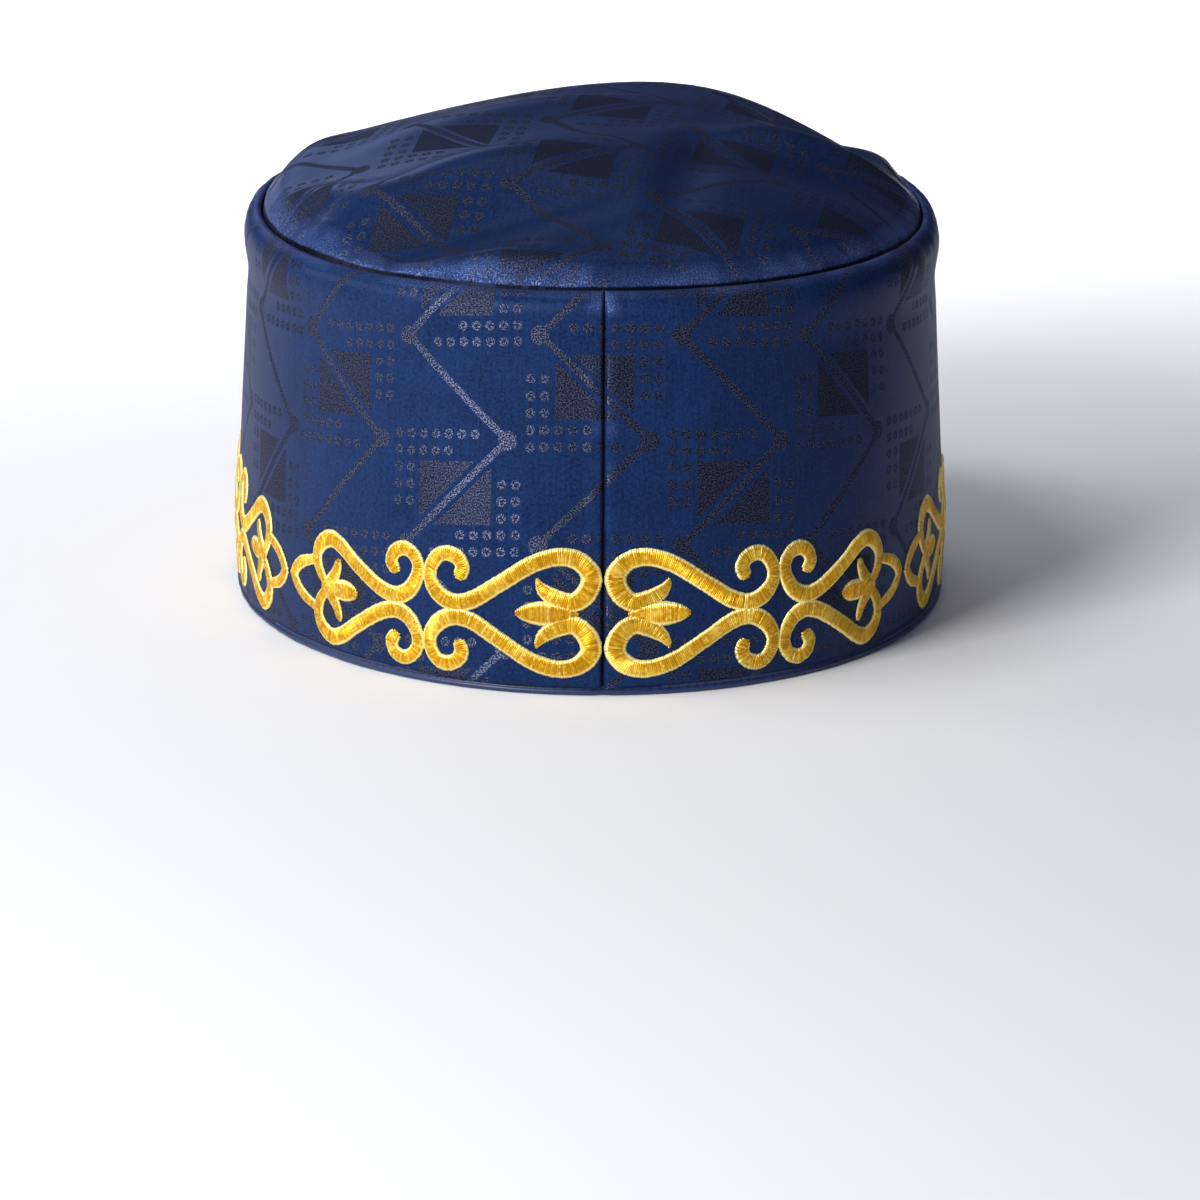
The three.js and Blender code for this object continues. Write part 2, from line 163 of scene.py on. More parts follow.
# %% Places on the oval
# The side rises to this share of the band's height and then turns over into the seam.
TURN_OVER = 0.99
BORDER_MIDDLE = 18.2
HALF_TURN_STEPS = 720


def oval(angle, height, out, share=1):
    """x and y at an angle from the back seam, as far out of the rim's outline as out says."""
    rise = np.clip(height / BAND_HEIGHT, 0, 1)
    across = HALF_WIDTH + out
    along = HALF_LENGTH + out - END_LEAN * rise
    squareness = RIM_SQUARENESS + (SEAM_SQUARENESS - RIM_SQUARENESS) * rise
    side = np.abs(np.sin(angle) / across) ** squareness
    end = np.abs(np.cos(angle) / along) ** squareness
    radius = share / (side + end) ** (1 / squareness)
    return radius * np.sin(angle), -radius * np.cos(angle)


def wall_out(height):
    """How far the band's outer face stands out of the rim's outline at a height."""
    rising = side_curve[:, 1] < BAND_HEIGHT * TURN_OVER
    return np.interp(height, side_curve[rising, 1], side_curve[rising, 0])


half_turn = np.linspace(0, math.pi, HALF_TURN_STEPS + 1)
round_way = way_along(np.stack(oval(half_turn, BORDER_MIDDLE, wall_out(BORDER_MIDDLE)), axis=1))
HALF_WAY = round_way[-1]


def angle_at(length):
    """Angle at a length round the band from the back seam, either way, and on past the front."""
    turns = np.round(length / (2 * HALF_WAY))
    rest = length - turns * 2 * HALF_WAY
    angle = np.interp(np.abs(rest), round_way, half_turn)
    return turns * 2 * math.pi + np.sign(rest) * angle


print("way round the band:", round(2 * HALF_WAY), "mm")

# %% [markdown]
# ## How the cloth gives
# Sewn satin is never a perfect surface. It swells a little between its seams, gathers in small
# puckers where one edge is eased into another, and draws in on both sides of the back seam.
# Brushes could sculpt this, stroke by stroke. Noise read at the cap's own places gives all three
# at a size that can be set, and it is the same every time.

# %% Swells and puckers
SWELL = 0.55
SWELL_SIZE = 42
PUCKER = 0.34
PUCKER_SIZE = 5.5
PUCKER_LENGTH = 26
PUCKER_REACH = 7
BACK_GROOVE = 1.1
BACK_GROOVE_WIDTH = 0.45
BACK_SHOULDER = 0.3
BACK_SHOULDER_REACH = 2.2
BACK_PUCKER_SIZE = 4.5
SEAM_EASE = 2


def noise_at(x, y, z):
    """Smooth noise at rows of places, between -1 and 1."""
    return np.array([noise.noise(Vector(place)) for place in zip(x.ravel(), y.ravel(), z.ravel())])


def give(angle, height):
    """How far the band's cloth stands out of its plain form, at places given as rows."""
    x, y = oval(angle, height, 0)
    swell = SWELL * noise_at(x / SWELL_SIZE, y / SWELL_SIZE, height / SWELL_SIZE)
    near_seam = np.exp(-(BAND_HEIGHT - height) / PUCKER_REACH)
    pucker = PUCKER * noise_at(x / PUCKER_SIZE, y / PUCKER_SIZE, height / PUCKER_LENGTH)
    beside = np.abs(HALF_LENGTH * angle)
    shoulder = BACK_SHOULDER * np.exp(-((beside - BACK_SHOULDER_REACH) / BACK_SHOULDER_REACH) ** 2)
    drawn = 1 + noise_at(x / SWELL_SIZE, y / SWELL_SIZE, height / BACK_PUCKER_SIZE)
    return swell + pucker * near_seam + shoulder * drawn


back_middle = give(np.zeros(1), np.full(1, BAND_HEIGHT / 2))[0]
print("at the middle of the back the cloth stands out", round(back_middle, 2), "mm")

# %% [markdown]
# ## From a primitive to a finished piece
# Every piece starts as one of Blender's primitives and ends in the same few steps. These helpers
# do what hands would do with the mouse: add, cut edges, move vertices and shade smooth.

# %% Small helpers for pieces
LONG_EDGE = 0.5


def start_piece(name, operator, **settings):
    """Adds a primitive with nothing else selected, and returns it."""
    bpy.ops.object.select_all(action="DESELECT")
    operator(**settings)
    piece = bpy.context.object
    piece.name = piece.data.name = name
    return piece


def cut_long_edges(piece, axis, parts):
    """Cuts the edges that run along an axis into equal parts, in edit mode."""
    bpy.ops.object.mode_set(mode="EDIT")
    bpy.ops.mesh.select_mode(type="EDGE")
    edit = bmesh.from_edit_mesh(piece.data)
    for edge in edit.edges:
        near, far = edge.verts
        edge.select_set(abs(near.co[axis] - far.co[axis]) > LONG_EDGE)
    bmesh.update_edit_mesh(piece.data)
    bpy.ops.mesh.subdivide(number_cuts=parts - 1)
    bpy.ops.object.mode_set(mode="OBJECT")


def corners_of(mesh):
    """Places of a mesh's vertices, as rows of x, y and z."""
    places = np.empty(len(mesh.vertices) * 3)
    mesh.vertices.foreach_get("co", places)
    return places.reshape(-1, 3)


def set_corners(mesh, places):
    """Moves a mesh's vertices to rows of places in millimetres."""
    mesh.vertices.foreach_set("co", (np.asarray(places) * MM).ravel())
    mesh.update()


def keep_at_points(mesh, name, values):
    """Keeps one number at each vertex, for a material to read."""
    kept = mesh.attributes.new(name, "FLOAT", "POINT")
    kept.data.foreach_set("value", values)


def give_wall(piece, thickness):
    """Solidify: thickens the cloth inwards, as the wall of a hollow piece."""
    wall = piece.modifiers.new("Wall", "SOLIDIFY")
    wall.thickness = thickness * MM
    wall.offset = -1
    bpy.ops.object.modifier_apply(modifier=wall.name)


def finish_piece(piece, node):
    """Smooths a piece, lets it stand for its CAD node, and prints its size."""
    bpy.ops.object.shade_smooth()
    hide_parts(node)
    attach(piece, "root")
    piece.data.calc_loop_triangles()
    print(piece.name, len(piece.data.loop_triangles), "triangles for", node)


# %% [markdown]
# ## The band
# The real band is one strip of satin, folded round and closed by a seam at the back. A cylinder
# without ends is that strip already sewn. Its upright edges are subdivided into rows, each vertex
# is moved to its place on the cap, and Solidify gives the cloth its wall. The columns stand closer
# together near the back, where the seam is only half a millimetre wide.

# %% A tube of cloth
BAND_COLUMNS = 528
BAND_ROWS = 68
BACK_CROWDING = 0.8
BAND_FOOT = 1.9

band_cloth = start_piece("band_cloth", bpy.ops.mesh.primitive_cylinder_add, vertices=BAND_COLUMNS,
                         radius=1, depth=1, end_fill_type="NOTHING")
cut_long_edges(band_cloth, 2, BAND_ROWS)
print("band:", len(band_cloth.data.vertices), "vertices")

# %% Each vertex to its place on the cap
unit = corners_of(band_cloth.data)
turn = np.arctan2(unit[:, 0], -unit[:, 1]) / math.pi
length_round = HALF_WAY * (turn - BACK_CROWDING * np.sin(math.pi * turn) / math.pi)
foot_way = np.interp(BAND_FOOT, side_curve[:, 1], side_way)
way_up = foot_way + (unit[:, 2] + 0.5) * (side_way[-1] - foot_way)
side_out = np.interp(way_up, side_way, side_curve[:, 0])
side_height = np.interp(way_up, side_way, side_curve[:, 1])
band_angle = angle_at(length_round)
groove = BACK_GROOVE * np.exp(-(length_round / BACK_GROOVE_WIDTH) ** 2)
in_seam = np.clip((side_way[-1] - way_up) / SEAM_EASE, 0, 1)
stands = side_out + (give(band_angle, side_height) - groove) * in_seam
band_x, band_y = oval(band_angle, side_height, stands)
set_corners(band_cloth.data, np.stack([band_x, band_y, side_height], axis=1))
print("band, front to back:", round(np.ptp(band_y), 1), "mm")

# %% [markdown]
# ### A map in millimetres of cloth
# A woven pattern follows its cloth and not the room. So the cloth gets a UV map whose unit is one
# millimetre: round from the back seam, and up along the cloth. Unwrapping by operator would
# stretch it. A whole number of zigzags has to close the ring, so the map is eased a little towards
# the front. Each vertex also keeps how far it is from the nearest seam, which the satin reads.

# %% The cloth's own millimetres
# The map is eased beyond EASED_FROM, to FRONT_COLUMNS zigzags from the back seam to the front. The
# strip was cut a little across its thread, so the pattern droops by BAND_DROOP at the sides.
# BAND_REPEAT is where the pattern's middle lies on the band.
ZIGZAG_SPACING = 33.5
FRONT_COLUMNS = 9
EASED_FROM = 150
BAND_REPEAT = (-2.25, 71.6)
BAND_DROOP = 9
BAND_DROOP_REACH = 75
BACK_LINE = 0.4


def write_cloth_map(piece, across, up, lap=None):
    """UV map in millimetres of cloth. With lap, faces over the join count on instead of back."""
    mesh = piece.data
    corner = np.empty(len(mesh.loops), dtype=int)
    mesh.loops.foreach_get("vertex_index", corner)
    across, up = across[corner], up[corner]
    if lap:
        faces = across.reshape(-1, 4)
        split = np.ptp(faces, axis=1) > lap
        faces[split] = np.where(faces[split] < 0, faces[split] + 2 * lap, faces[split])
    cloth = mesh.uv_layers[0]
    cloth.name = "cloth_mm"
    cloth.data.foreach_set("uv", np.stack([across, up], axis=1).ravel())


front_length = FRONT_COLUMNS * ZIGZAG_SPACING
eased_share = np.clip((np.abs(length_round) - EASED_FROM) / (HALF_WAY - EASED_FROM), 0, 1)
eased_in = (HALF_WAY - front_length) * eased_share * np.sign(length_round)
droop = BAND_DROOP * (1 - np.exp(-(length_round / BAND_DROOP_REACH) ** 2))
write_cloth_map(band_cloth, length_round - eased_in - BAND_REPEAT[0],
                way_up + droop - BAND_REPEAT[1], lap=front_length)
keep_at_points(band_cloth.data, "from_seam",
               np.minimum(np.abs(length_round) + BACK_LINE, side_way[-1] - way_up))
give_wall(band_cloth, BAND_THICKNESS)
finish_piece(band_cloth, "side_band")

# %% [markdown]
# ## The crown
# The crown is a flat oval of the same satin. Sewn into a band that is a little smaller, it domes
# and keeps the soft folds of being worn and put away. A cloth simulation would find folds of its
# own, and these are known. So a grid is laid on the oval ring by ring, with its outermost row as
# the sewn edge, and a short table of swells gives the folds.

# %% Folds of the crown
CROWN_FULLNESS = 2.9
CROWN_EDGE_SHARE = 0.06
# across, along: the middle, as shares of the crown's half width and half length. turn: degrees.
# long, wide: reach, in the same shares. rise: share of CROWN_RISE, and a hollow is negative.
CROWN_FOLDS = [
    (-0.34, -0.90, -6, 0.36, 0.06, 0.10),
    (-0.30, -0.72, 8, 0.38, 0.10, -0.17),
    (-0.34, -0.47, 12, 0.42, 0.10, 0.16),
    (-0.30, -0.25, 10, 0.40, 0.12, -0.07),
    (-0.88, 0.06, 78, 0.32, 0.10, 0.17),
    (-0.80, -0.37, -44, 0.26, 0.07, 0.12),
    (-0.84, -0.62, -30, 0.14, 0.10, 0.08),
    (-0.22, 0.02, 14, 0.46, 0.08, 0.08),
    (0.02, 0.05, -8, 0.30, 0.14, 0.05),
    (0.28, -0.42, 72, 0.38, 0.09, -0.09),
    (0.14, -0.60, 80, 0.24, 0.07, 0.05),
    (0.52, -0.72, 24, 0.32, 0.12, 0.08),
    (0.60, -0.14, 12, 0.36, 0.07, 0.15),
    (0.60, -0.34, 8, 0.32, 0.11, -0.12),
    (0.72, 0.26, 18, 0.20, 0.16, -0.24),
    (0.88, 0.22, 60, 0.20, 0.10, 0.19),
    (-0.45, 0.42, 8, 0.34, 0.26, -0.11),
    (0.30, 0.42, -10, 0.34, 0.24, 0.11),
    (0.10, 0.86, 4, 0.40, 0.09, 0.08),
    (0.15, 0.72, 2, 0.34, 0.10, -0.09),
]


def folds_at(across, along):
    """Height of all the folds together, as a share of CROWN_RISE."""
    total = np.zeros_like(across)
    for middle_x, middle_y, turn_degrees, long, wide, rise in CROWN_FOLDS:
        angle = math.radians(turn_degrees)
        x, y = across - middle_x, along - middle_y
        lengthways = x * math.cos(angle) + y * math.sin(angle)
        crossways = y * math.cos(angle) - x * math.sin(angle)
        total += rise * np.exp(-(lengthways / long) ** 2 - (crossways / wide) ** 2)
    return total


print(len(CROWN_FOLDS), "folds and hollows on the crown")

# %% A grid laid on the oval, ring by ring
CROWN_CELLS = 176
EDGE_CROWDING = 1.5
# Stands in for the middle vertex's ring of 0, which nothing can be divided by
TINY_RING = 1e-6

crown_cloth = start_piece("crown_cloth", bpy.ops.mesh.primitive_grid_add, size=2,
                          x_subdivisions=CROWN_CELLS, y_subdivisions=CROWN_CELLS)
grid = corners_of(crown_cloth.data)
grid_x, grid_y = grid[:, 0], grid[:, 1]
ring = np.maximum(np.abs(grid_x), np.abs(grid_y))
sideways = np.abs(grid_x) >= np.abs(grid_y)
slant = np.where(sideways, grid_y, grid_x) / np.maximum(ring, TINY_RING) * math.pi / 4
ring_x = np.where(sideways, np.sign(grid_x) * np.cos(slant), np.sin(slant))
ring_y = np.where(sideways, np.sin(slant), np.sign(grid_y) * np.cos(slant))
crown_angle = np.arctan2(ring_x, -ring_y)
crown_share = 1 - (1 - ring) ** EDGE_CROWDING
seam_out = side_curve[-1, 0]
crown_x, crown_y = oval(crown_angle, BAND_HEIGHT, seam_out, crown_share)
print("crown:", len(grid), "vertices on an oval", round(np.ptp(crown_x), 1), "mm across")

# %% The crown's height: dome, folds, swells, puckers and the roll into its seam
CROWN_SWELL_PLACE = 7
CROWN_PUCKER = 0.8
CROWN_PUCKER_REACH = 6
CROWN_PUCKER_PLACE = 3
SEAM_ROLL = 0.55
CROWN_CLOTH_TURN = math.radians(12)
CROWN_REPEAT = (-28.7, -72.5)

across_share = crown_x / (HALF_WIDTH - SEAM_INSET)
along_share = crown_y / (HALF_LENGTH - SEAM_INSET - END_LEAN)
from_seam = (1 - crown_share) * HALF_WIDTH
fade = np.clip((1 - crown_share) / CROWN_EDGE_SHARE, 0, 1)
dome = CROWN_RISE * (1 - crown_share ** CROWN_FULLNESS)
folds = CROWN_RISE * folds_at(across_share, along_share) * fade
swell_place = np.full_like(crown_x, CROWN_SWELL_PLACE)
swell = SWELL * noise_at(crown_x / SWELL_SIZE, crown_y / SWELL_SIZE, swell_place) * fade
edge_x, edge_y = oval(crown_angle, BAND_HEIGHT, seam_out)
pucker = noise_at(edge_x / PUCKER_SIZE, edge_y / PUCKER_SIZE,
                  from_seam / PUCKER_LENGTH + CROWN_PUCKER_PLACE)
eased = np.exp(-from_seam / CROWN_PUCKER_REACH) * np.clip(from_seam / SEAM_EASE, 0, 1)
roll = SEAM_DEPTH * np.exp(-(from_seam / SEAM_ROLL) ** 2)
crown_height = BAND_HEIGHT + dome + folds + swell + CROWN_PUCKER * pucker * eased - roll
set_corners(crown_cloth.data, np.stack([crown_x, crown_y, crown_height], axis=1))
cloth_cos, cloth_sin = math.cos(CROWN_CLOTH_TURN), math.sin(CROWN_CLOTH_TURN)
write_cloth_map(crown_cloth, crown_x * cloth_cos - crown_y * cloth_sin - CROWN_REPEAT[0],
                crown_x * cloth_sin + crown_y * cloth_cos - CROWN_REPEAT[1])
keep_at_points(crown_cloth.data, "from_seam", from_seam)
give_wall(crown_cloth, CROWN_THICKNESS)
finish_piece(crown_cloth, "crown")

# %% [markdown]
# ## The hem
# The rim is turned in twice and stitched, which leaves a thin soft roll with a fine crease above
# it. A bevelled curve would give a roll too, but the same section all round. A torus runs round the
# cap as well, and its vertices can each be moved: to a rounded section, nipped by the stitches.

# %% A rolled edge
HEM_COLUMNS = 480
HEM_NIP = 0.2
HEM_NIP_SIZE = 1.6
HEM_GROOVE = 0.5
# Section of the hem, round from its outer bottom edge. deep: share of HEM_THICKNESS inwards from
# the outer face. up: share of HEM_HEIGHT.
HEM_SECTION = [
    (0.30, 0), (0.12, 0.1), (0.02, 0.26), (0, 0.42), (0.06, 0.56), (0.17, 0.64), (0.16, 0.72),
    (0.11, 0.82), (0.14, 0.94), (0.3, 1), (0.7, 1), (0.92, 0.9), (1, 0.65), (1, 0.3),
    (0.9, 0.08), (0.7, 0),
]
OUTER_HALF = 0.5
OUTERMOST_POINT = 3

hem_fold = start_piece("hem_fold", bpy.ops.mesh.primitive_torus_add, major_radius=1,
                       minor_radius=0.25, major_segments=HEM_COLUMNS,
                       minor_segments=len(HEM_SECTION))
torus = corners_of(hem_fold.data)
hem_turn = np.arctan2(torus[:, 0], -torus[:, 1])
small_turn = np.arctan2(torus[:, 2], np.hypot(torus[:, 0], torus[:, 1]) - 1)
spot = np.round(small_turn / (2 * math.pi) * len(HEM_SECTION)).astype(int) % len(HEM_SECTION)
section = np.array(HEM_SECTION)[(spot + OUTERMOST_POINT) % len(HEM_SECTION)]
hem_height = section[:, 1] * HEM_HEIGHT
hem_length = HALF_WAY * (hem_turn / math.pi)
hem_angle = angle_at(hem_length)
hem_x, hem_y = oval(hem_angle, hem_height, 0)
nips = HEM_NIP * noise_at(hem_x / HEM_NIP_SIZE, hem_y / HEM_NIP_SIZE, np.zeros_like(hem_x))
hem_groove = HEM_GROOVE * np.exp(-(hem_length / BACK_GROOVE_WIDTH) ** 2)
outside = section[:, 0] < OUTER_HALF
hem_out = HEM_PROUD - section[:, 0] * HEM_THICKNESS + (nips - hem_groove) * outside
hem_x, hem_y = oval(hem_angle, hem_height, hem_out)
set_corners(hem_fold.data, np.stack([hem_x, hem_y, hem_height], axis=1))
write_cloth_map(hem_fold, hem_length, hem_height, lap=HALF_WAY)
finish_piece(hem_fold, "rim_hem")

# %% [markdown]
# ## The scroll border
# The border repeats one unit: a plain heart and a flower heart, back to back, with curls where
# they meet. Each stroke is a short table of stations along its middle line, like the tables that
# shape the CAD solids, with the leaves and curls a little fuller. On the real cap each stroke is a
# column of satin stitch: threads laid side by side straight across the stroke, over a padding of
# the same thread. Bump on a smooth ribbon would look printed on, so every thread is modelled.

# %% Strokes of the scroll
PLAIN_HEART_LENGTH = 43
FLOWER_HEART_LENGTH = 47.6
SCROLL_HALF_HEIGHT = 15.3
SCROLL_WAVE = 1.2
SCROLL_GAP = 0.4
RIBBON_WIDTH = 5.2
CURL_MEETING = 0.62
STROKE_STEPS = 16

# away: share of the way from the meeting line outwards. up: share of the half height.
# wide: share of RIBBON_WIDTH. A stroke that is mirrored also runs below the middle line.
PLAIN_HEART = [
    (True, [
        (0.676, 0.64, 0.12), (0.69, 0.53, 0.42), (0.725, 0.4, 0.7), (0.805, 0.26, 0.86),
        (0.9, 0.21, 0.9),
        (0.978, 0.41, 0.98), (1, 0.69, 1), (0.935, 0.94, 0.91), (0.825, 1.03, 0.86),
        (0.664, 0.91, 0.83), (0.451, 0.52, 0.8), (0.271, 0.19, 0.85), (0.164, 0.13, 0.86),
        (0.07, 0.24, 0.86), (0.003, 0.5, 0.76), (0.002, 0.74, 0.73), (0.053, 0.97, 0.74),
        (0.12, 1.02, 0.76), (0.187, 0.93, 0.76), (0.212, 0.78, 0.76), (0.205, 0.69, 0.74),
        (0.198, 0.635, 0.68), (0.192, 0.59, 0.5), (0.189, 0.565, 0.2),
    ]),
    (False, [
        (0.925, 0, 0.12), (0.88, 0, 0.5), (0.83, 0, 0.84), (0.77, 0, 1.08), (0.71, 0, 1.14),
        (0.64, 0, 0.98), (0.585, 0, 0.62), (0.55, 0, 0.24),
    ]),
]
FLOWER_HEART = [
    (True, [
        (0.138, 0.555, 0.2), (0.142, 0.58, 0.5), (0.15, 0.615, 0.66), (0.162, 0.66, 0.71),
        (0.178, 0.75, 0.74), (0.159, 0.93, 0.74), (0.1, 1.02, 0.74),
        (0.038, 0.94, 0.71), (0.002, 0.73, 0.71), (0.012, 0.5, 0.76), (0.062, 0.25, 0.85),
        (0.139, 0.14, 0.85), (0.232, 0.2, 0.83), (0.438, 0.59, 0.8), (0.558, 0.85, 0.83),
        (0.641, 0.93, 0.85), (0.723, 0.81, 0.85), (0.764, 0.59, 0.78), (0.747, 0.32, 0.68),
        (0.69, 0.08, 0.56),
    ]),
    (True, [(0.795, 0.45, 0.51), (0.922, 0.3, 0.64), (0.982, 0.14, 0.66), (1.017, -0.04, 0.68)]),
    (True, [
        (0.567, 0.59, 0.22), (0.574, 0.51, 0.5), (0.59, 0.35, 0.62), (0.638, 0.12, 0.8),
        (0.7, -0.06, 0.6),
    ]),
    (False, [
        (0.418, 0.02, 0.14), (0.447, 0.02, 0.66), (0.5, 0.02, 1.0), (0.58, 0.01, 0.98),
        (0.66, 0.01, 0.82), (0.715, 0.01, 0.6),
    ]),
]
PLAIN_HALF = (PLAIN_HEART, PLAIN_HEART_LENGTH, SCROLL_WAVE)
FLOWER_HALF = (FLOWER_HEART, FLOWER_HEART_LENGTH, -SCROLL_WAVE)


def strokes_of(half, start, heading, stretch):
    """Middle lines of a half motif as rows of length round, height and width."""
    table, length, wave = half
    innermost = CURL_MEETING * RIBBON_WIDTH / 2
    outermost = stretch * length - (RIBBON_WIDTH + SCROLL_GAP) / 2
    highest = SCROLL_HALF_HEIGHT - RIBBON_WIDTH / 2
    for mirrored, stations in table:
        for side in (1, -1) if mirrored else (1,):
            yield curve_through([(
                start + heading * (innermost + (outermost - innermost) * away),
                BORDER_MIDDLE + wave * math.sin(math.pi / 2 * away) + side * up * highest,
                wide * RIBBON_WIDTH,
            ) for away, up, wide in stations], STROKE_STEPS)


print("strokes of half a unit:", len(PLAIN_HEART), "and", len(FLOWER_HEART), "before mirroring")

# %% [markdown]
# ### One stitch, copied
# A single stitch is a thread that comes up at one edge of the stroke, arches over the padding and
# goes down at the other edge. It is modelled once, from a cylinder of five sides. Every other
# stitch is a copy of that mesh, set square to its stroke, with a little unevenness of its own.
# Real threads lie 0.4 mm apart. These lie 0.45 mm apart, so that each one still shows, and each
# is wide enough to overlap the next.

# %% The pattern stitch
STITCH_SIDES = 5
STITCH_SPANS = 6
STITCH_RADIUS = 0.5

stitch = start_piece("stitch", bpy.ops.mesh.primitive_cylinder_add, vertices=STITCH_SIDES,
                     radius=STITCH_RADIUS, depth=2, rotation=(0, math.pi / 2, 0))
bpy.ops.object.transform_apply(location=True, rotation=True, scale=True)
cut_long_edges(stitch, 0, STITCH_SPANS)
stitch_shape = corners_of(stitch.data)
stitch_faces = [list(face.vertices) for face in stitch.data.polygons]
bpy.data.objects.remove(stitch)
print("one stitch:", len(stitch_shape), "vertices,", len(stitch_faces), "faces")

# %% Stitches along a stroke
# SHOULDER draws a stitch's vertices towards its ends, where it bends most, and STITCH_ARCH keeps
# its top flat. On a curl the threads fan out, within FAN_LIMITS of their usual width.
STITCH_PITCH = 0.45
THREAD_WIDTH = 0.66
THREAD_HEIGHT = 0.24
PADDING_RISE = 0.55
STITCH_ARCH = 4
SHOULDER = 1.5
EDGE_ALLOWANCE = 0.12
FOOT_DEPTH = 0.12
OVERSHOOT = 0.07
OVERSHOOT_FROM = 1
SLANT = 0.03
PLACE_JITTER = 0.08
UNEVENNESS = 0.03
LOOK_AHEAD = 0.3
FAN_LIMITS = (0.45, 1.9)
RISE_LIMITS = (0.1, 1.1)
FEWEST_STITCHES = 2


def stations_at(at, way, stroke):
    """Length round, height and width of a stroke at these ways along it."""
    return np.stack([np.interp(at, way, column) for column in stroke.T], axis=1)


def stitches_along(stroke, chance, lift):
    """Vertices of every stitch of a stroke, with how far across each one is and its tone."""
    way = way_along(stroke[:, :2])
    count = max(FEWEST_STITCHES, round(way[-1] / STITCH_PITCH))
    jitter = chance.uniform(-PLACE_JITTER, PLACE_JITTER, count)
    at = (np.arange(count) + 0.5 + jitter) / count * way[-1]
    spot = stations_at(at, way, stroke)
    ahead = stations_at(at + LOOK_AHEAD, way, stroke)[:, :2]
    behind = stations_at(at - LOOK_AHEAD, way, stroke)[:, :2]
    heading = (ahead - behind) / np.linalg.norm(ahead - behind, axis=1)[:, None]
    bearing = np.unwrap(np.arctan2(heading[:, 1], heading[:, 0]))
    curl = np.gradient(bearing, at)
    bearing = bearing + chance.uniform(-SLANT, SLANT, count)
    heading = np.stack([np.cos(bearing), np.sin(bearing)], axis=1)
    square = np.stack([-heading[:, 1], heading[:, 0]], axis=1)
    overshoot = chance.uniform(-OVERSHOOT, OVERSHOOT, count) * (spot[:, 2] > OVERSHOOT_FROM)
    half = spot[:, 2] / 2 - EDGE_ALLOWANCE + overshoot
    shape = stitch_shape[None, :, :].copy()
    shape[:, :, 0] = np.sign(shape[:, :, 0]) * (1 - (1 - np.abs(shape[:, :, 0])) ** SHOULDER)
    off = shape[:, :, 0] * half[:, None]
    fan = np.clip(1 - curl[:, None] * off, *FAN_LIMITS)
    along = shape[:, :, 1] * THREAD_WIDTH * fan
    rise = PADDING_RISE * np.sqrt(np.clip(half / RIBBON_WIDTH * 2, *RISE_LIMITS))
    arch = rise[:, None] * (1 - np.abs(shape[:, :, 0]) ** STITCH_ARCH)
    uneven = chance.uniform(-UNEVENNESS, UNEVENNESS, count)[:, None] + lift
    height = arch + uneven + (shape[:, :, 2] + STITCH_RADIUS) * THREAD_HEIGHT - FOOT_DEPTH
    flat_place = spot[:, None, :2] + square[:, None, :] * off[:, :, None]
    flat_place = flat_place + heading[:, None, :] * along[:, :, None]
    tone = np.repeat(chance.uniform(0, 1, count), len(stitch_shape))
    across = np.broadcast_to(np.abs(shape[:, :, 0]), off.shape)
    rows = np.concatenate([flat_place, height[:, :, None]], axis=2).reshape(-1, 3)
    return rows, across.ravel(), tone


print("stitches every", STITCH_PITCH, "mm, threads", THREAD_WIDTH, "mm wide")

# %% The padding under the stitches
PADDING_SECTION = [(-0.9, 0.0), (-0.78, 0.6), (-0.45, 0.95), (0, 1), (0.45, 0.95), (0.78, 0.6),
                   (0.9, 0.0)]
PADDING_STEP = 0.9
FEWEST_ROWS = 4


def padding_along(stroke, lift):
    """Vertices and faces of the low rounded ridge under a stroke's stitches."""
    way = way_along(stroke[:, :2])
    count = max(FEWEST_ROWS, round(way[-1] / PADDING_STEP))
    at = np.linspace(0, way[-1], count)
    spot = stations_at(at, way, stroke)
    heading = np.gradient(spot[:, :2], axis=0)
    heading /= np.linalg.norm(heading, axis=1)[:, None]
    square = np.stack([-heading[:, 1], heading[:, 0]], axis=1)
    shape = np.array(PADDING_SECTION)
    off = shape[None, :, 0] * spot[:, None, 2] / 2
    rise = PADDING_RISE * np.sqrt(np.clip(spot[:, 2] / RIBBON_WIDTH, *RISE_LIMITS))
    height = shape[None, :, 1] * rise[:, None] + lift - FOOT_DEPTH
    places = spot[:, None, :2] + square[:, None, :] * off[:, :, None]
    rows = np.concatenate([places, height[:, :, None]], axis=2).reshape(-1, 3)
    wide = len(shape)
    faces = [[row * wide + col, row * wide + (col + 1) % wide,
              (row + 1) * wide + (col + 1) % wide, (row + 1) * wide + col]
             for row in range(count - 1) for col in range(wide)]
    faces += [list(range(wide))[::-1], [(count - 1) * wide + col for col in range(wide)]]
    return rows, faces


print("padding rises", PADDING_RISE, "mm under a full stroke")

# %% [markdown]
# ### A unit of the border
# Where strokes meet, the real threads lie over each other, so each stroke here lies a hair higher
# or lower than its neighbours. A unit is laid out flat first, as length round, height and rise.
# The formulas that shape the band then carry every vertex to its place. A Shrinkwrap modifier
# could do that too, but it would squeeze the stitches at the seam.

# %% The strokes of a unit, laid flat
STROKE_LIFT = 0.04
LAYERS = 3
# The padding has these two numbers at its points, where stitches have their own
PADDING_ACROSS = 0.5
PADDING_TONE = -1.0


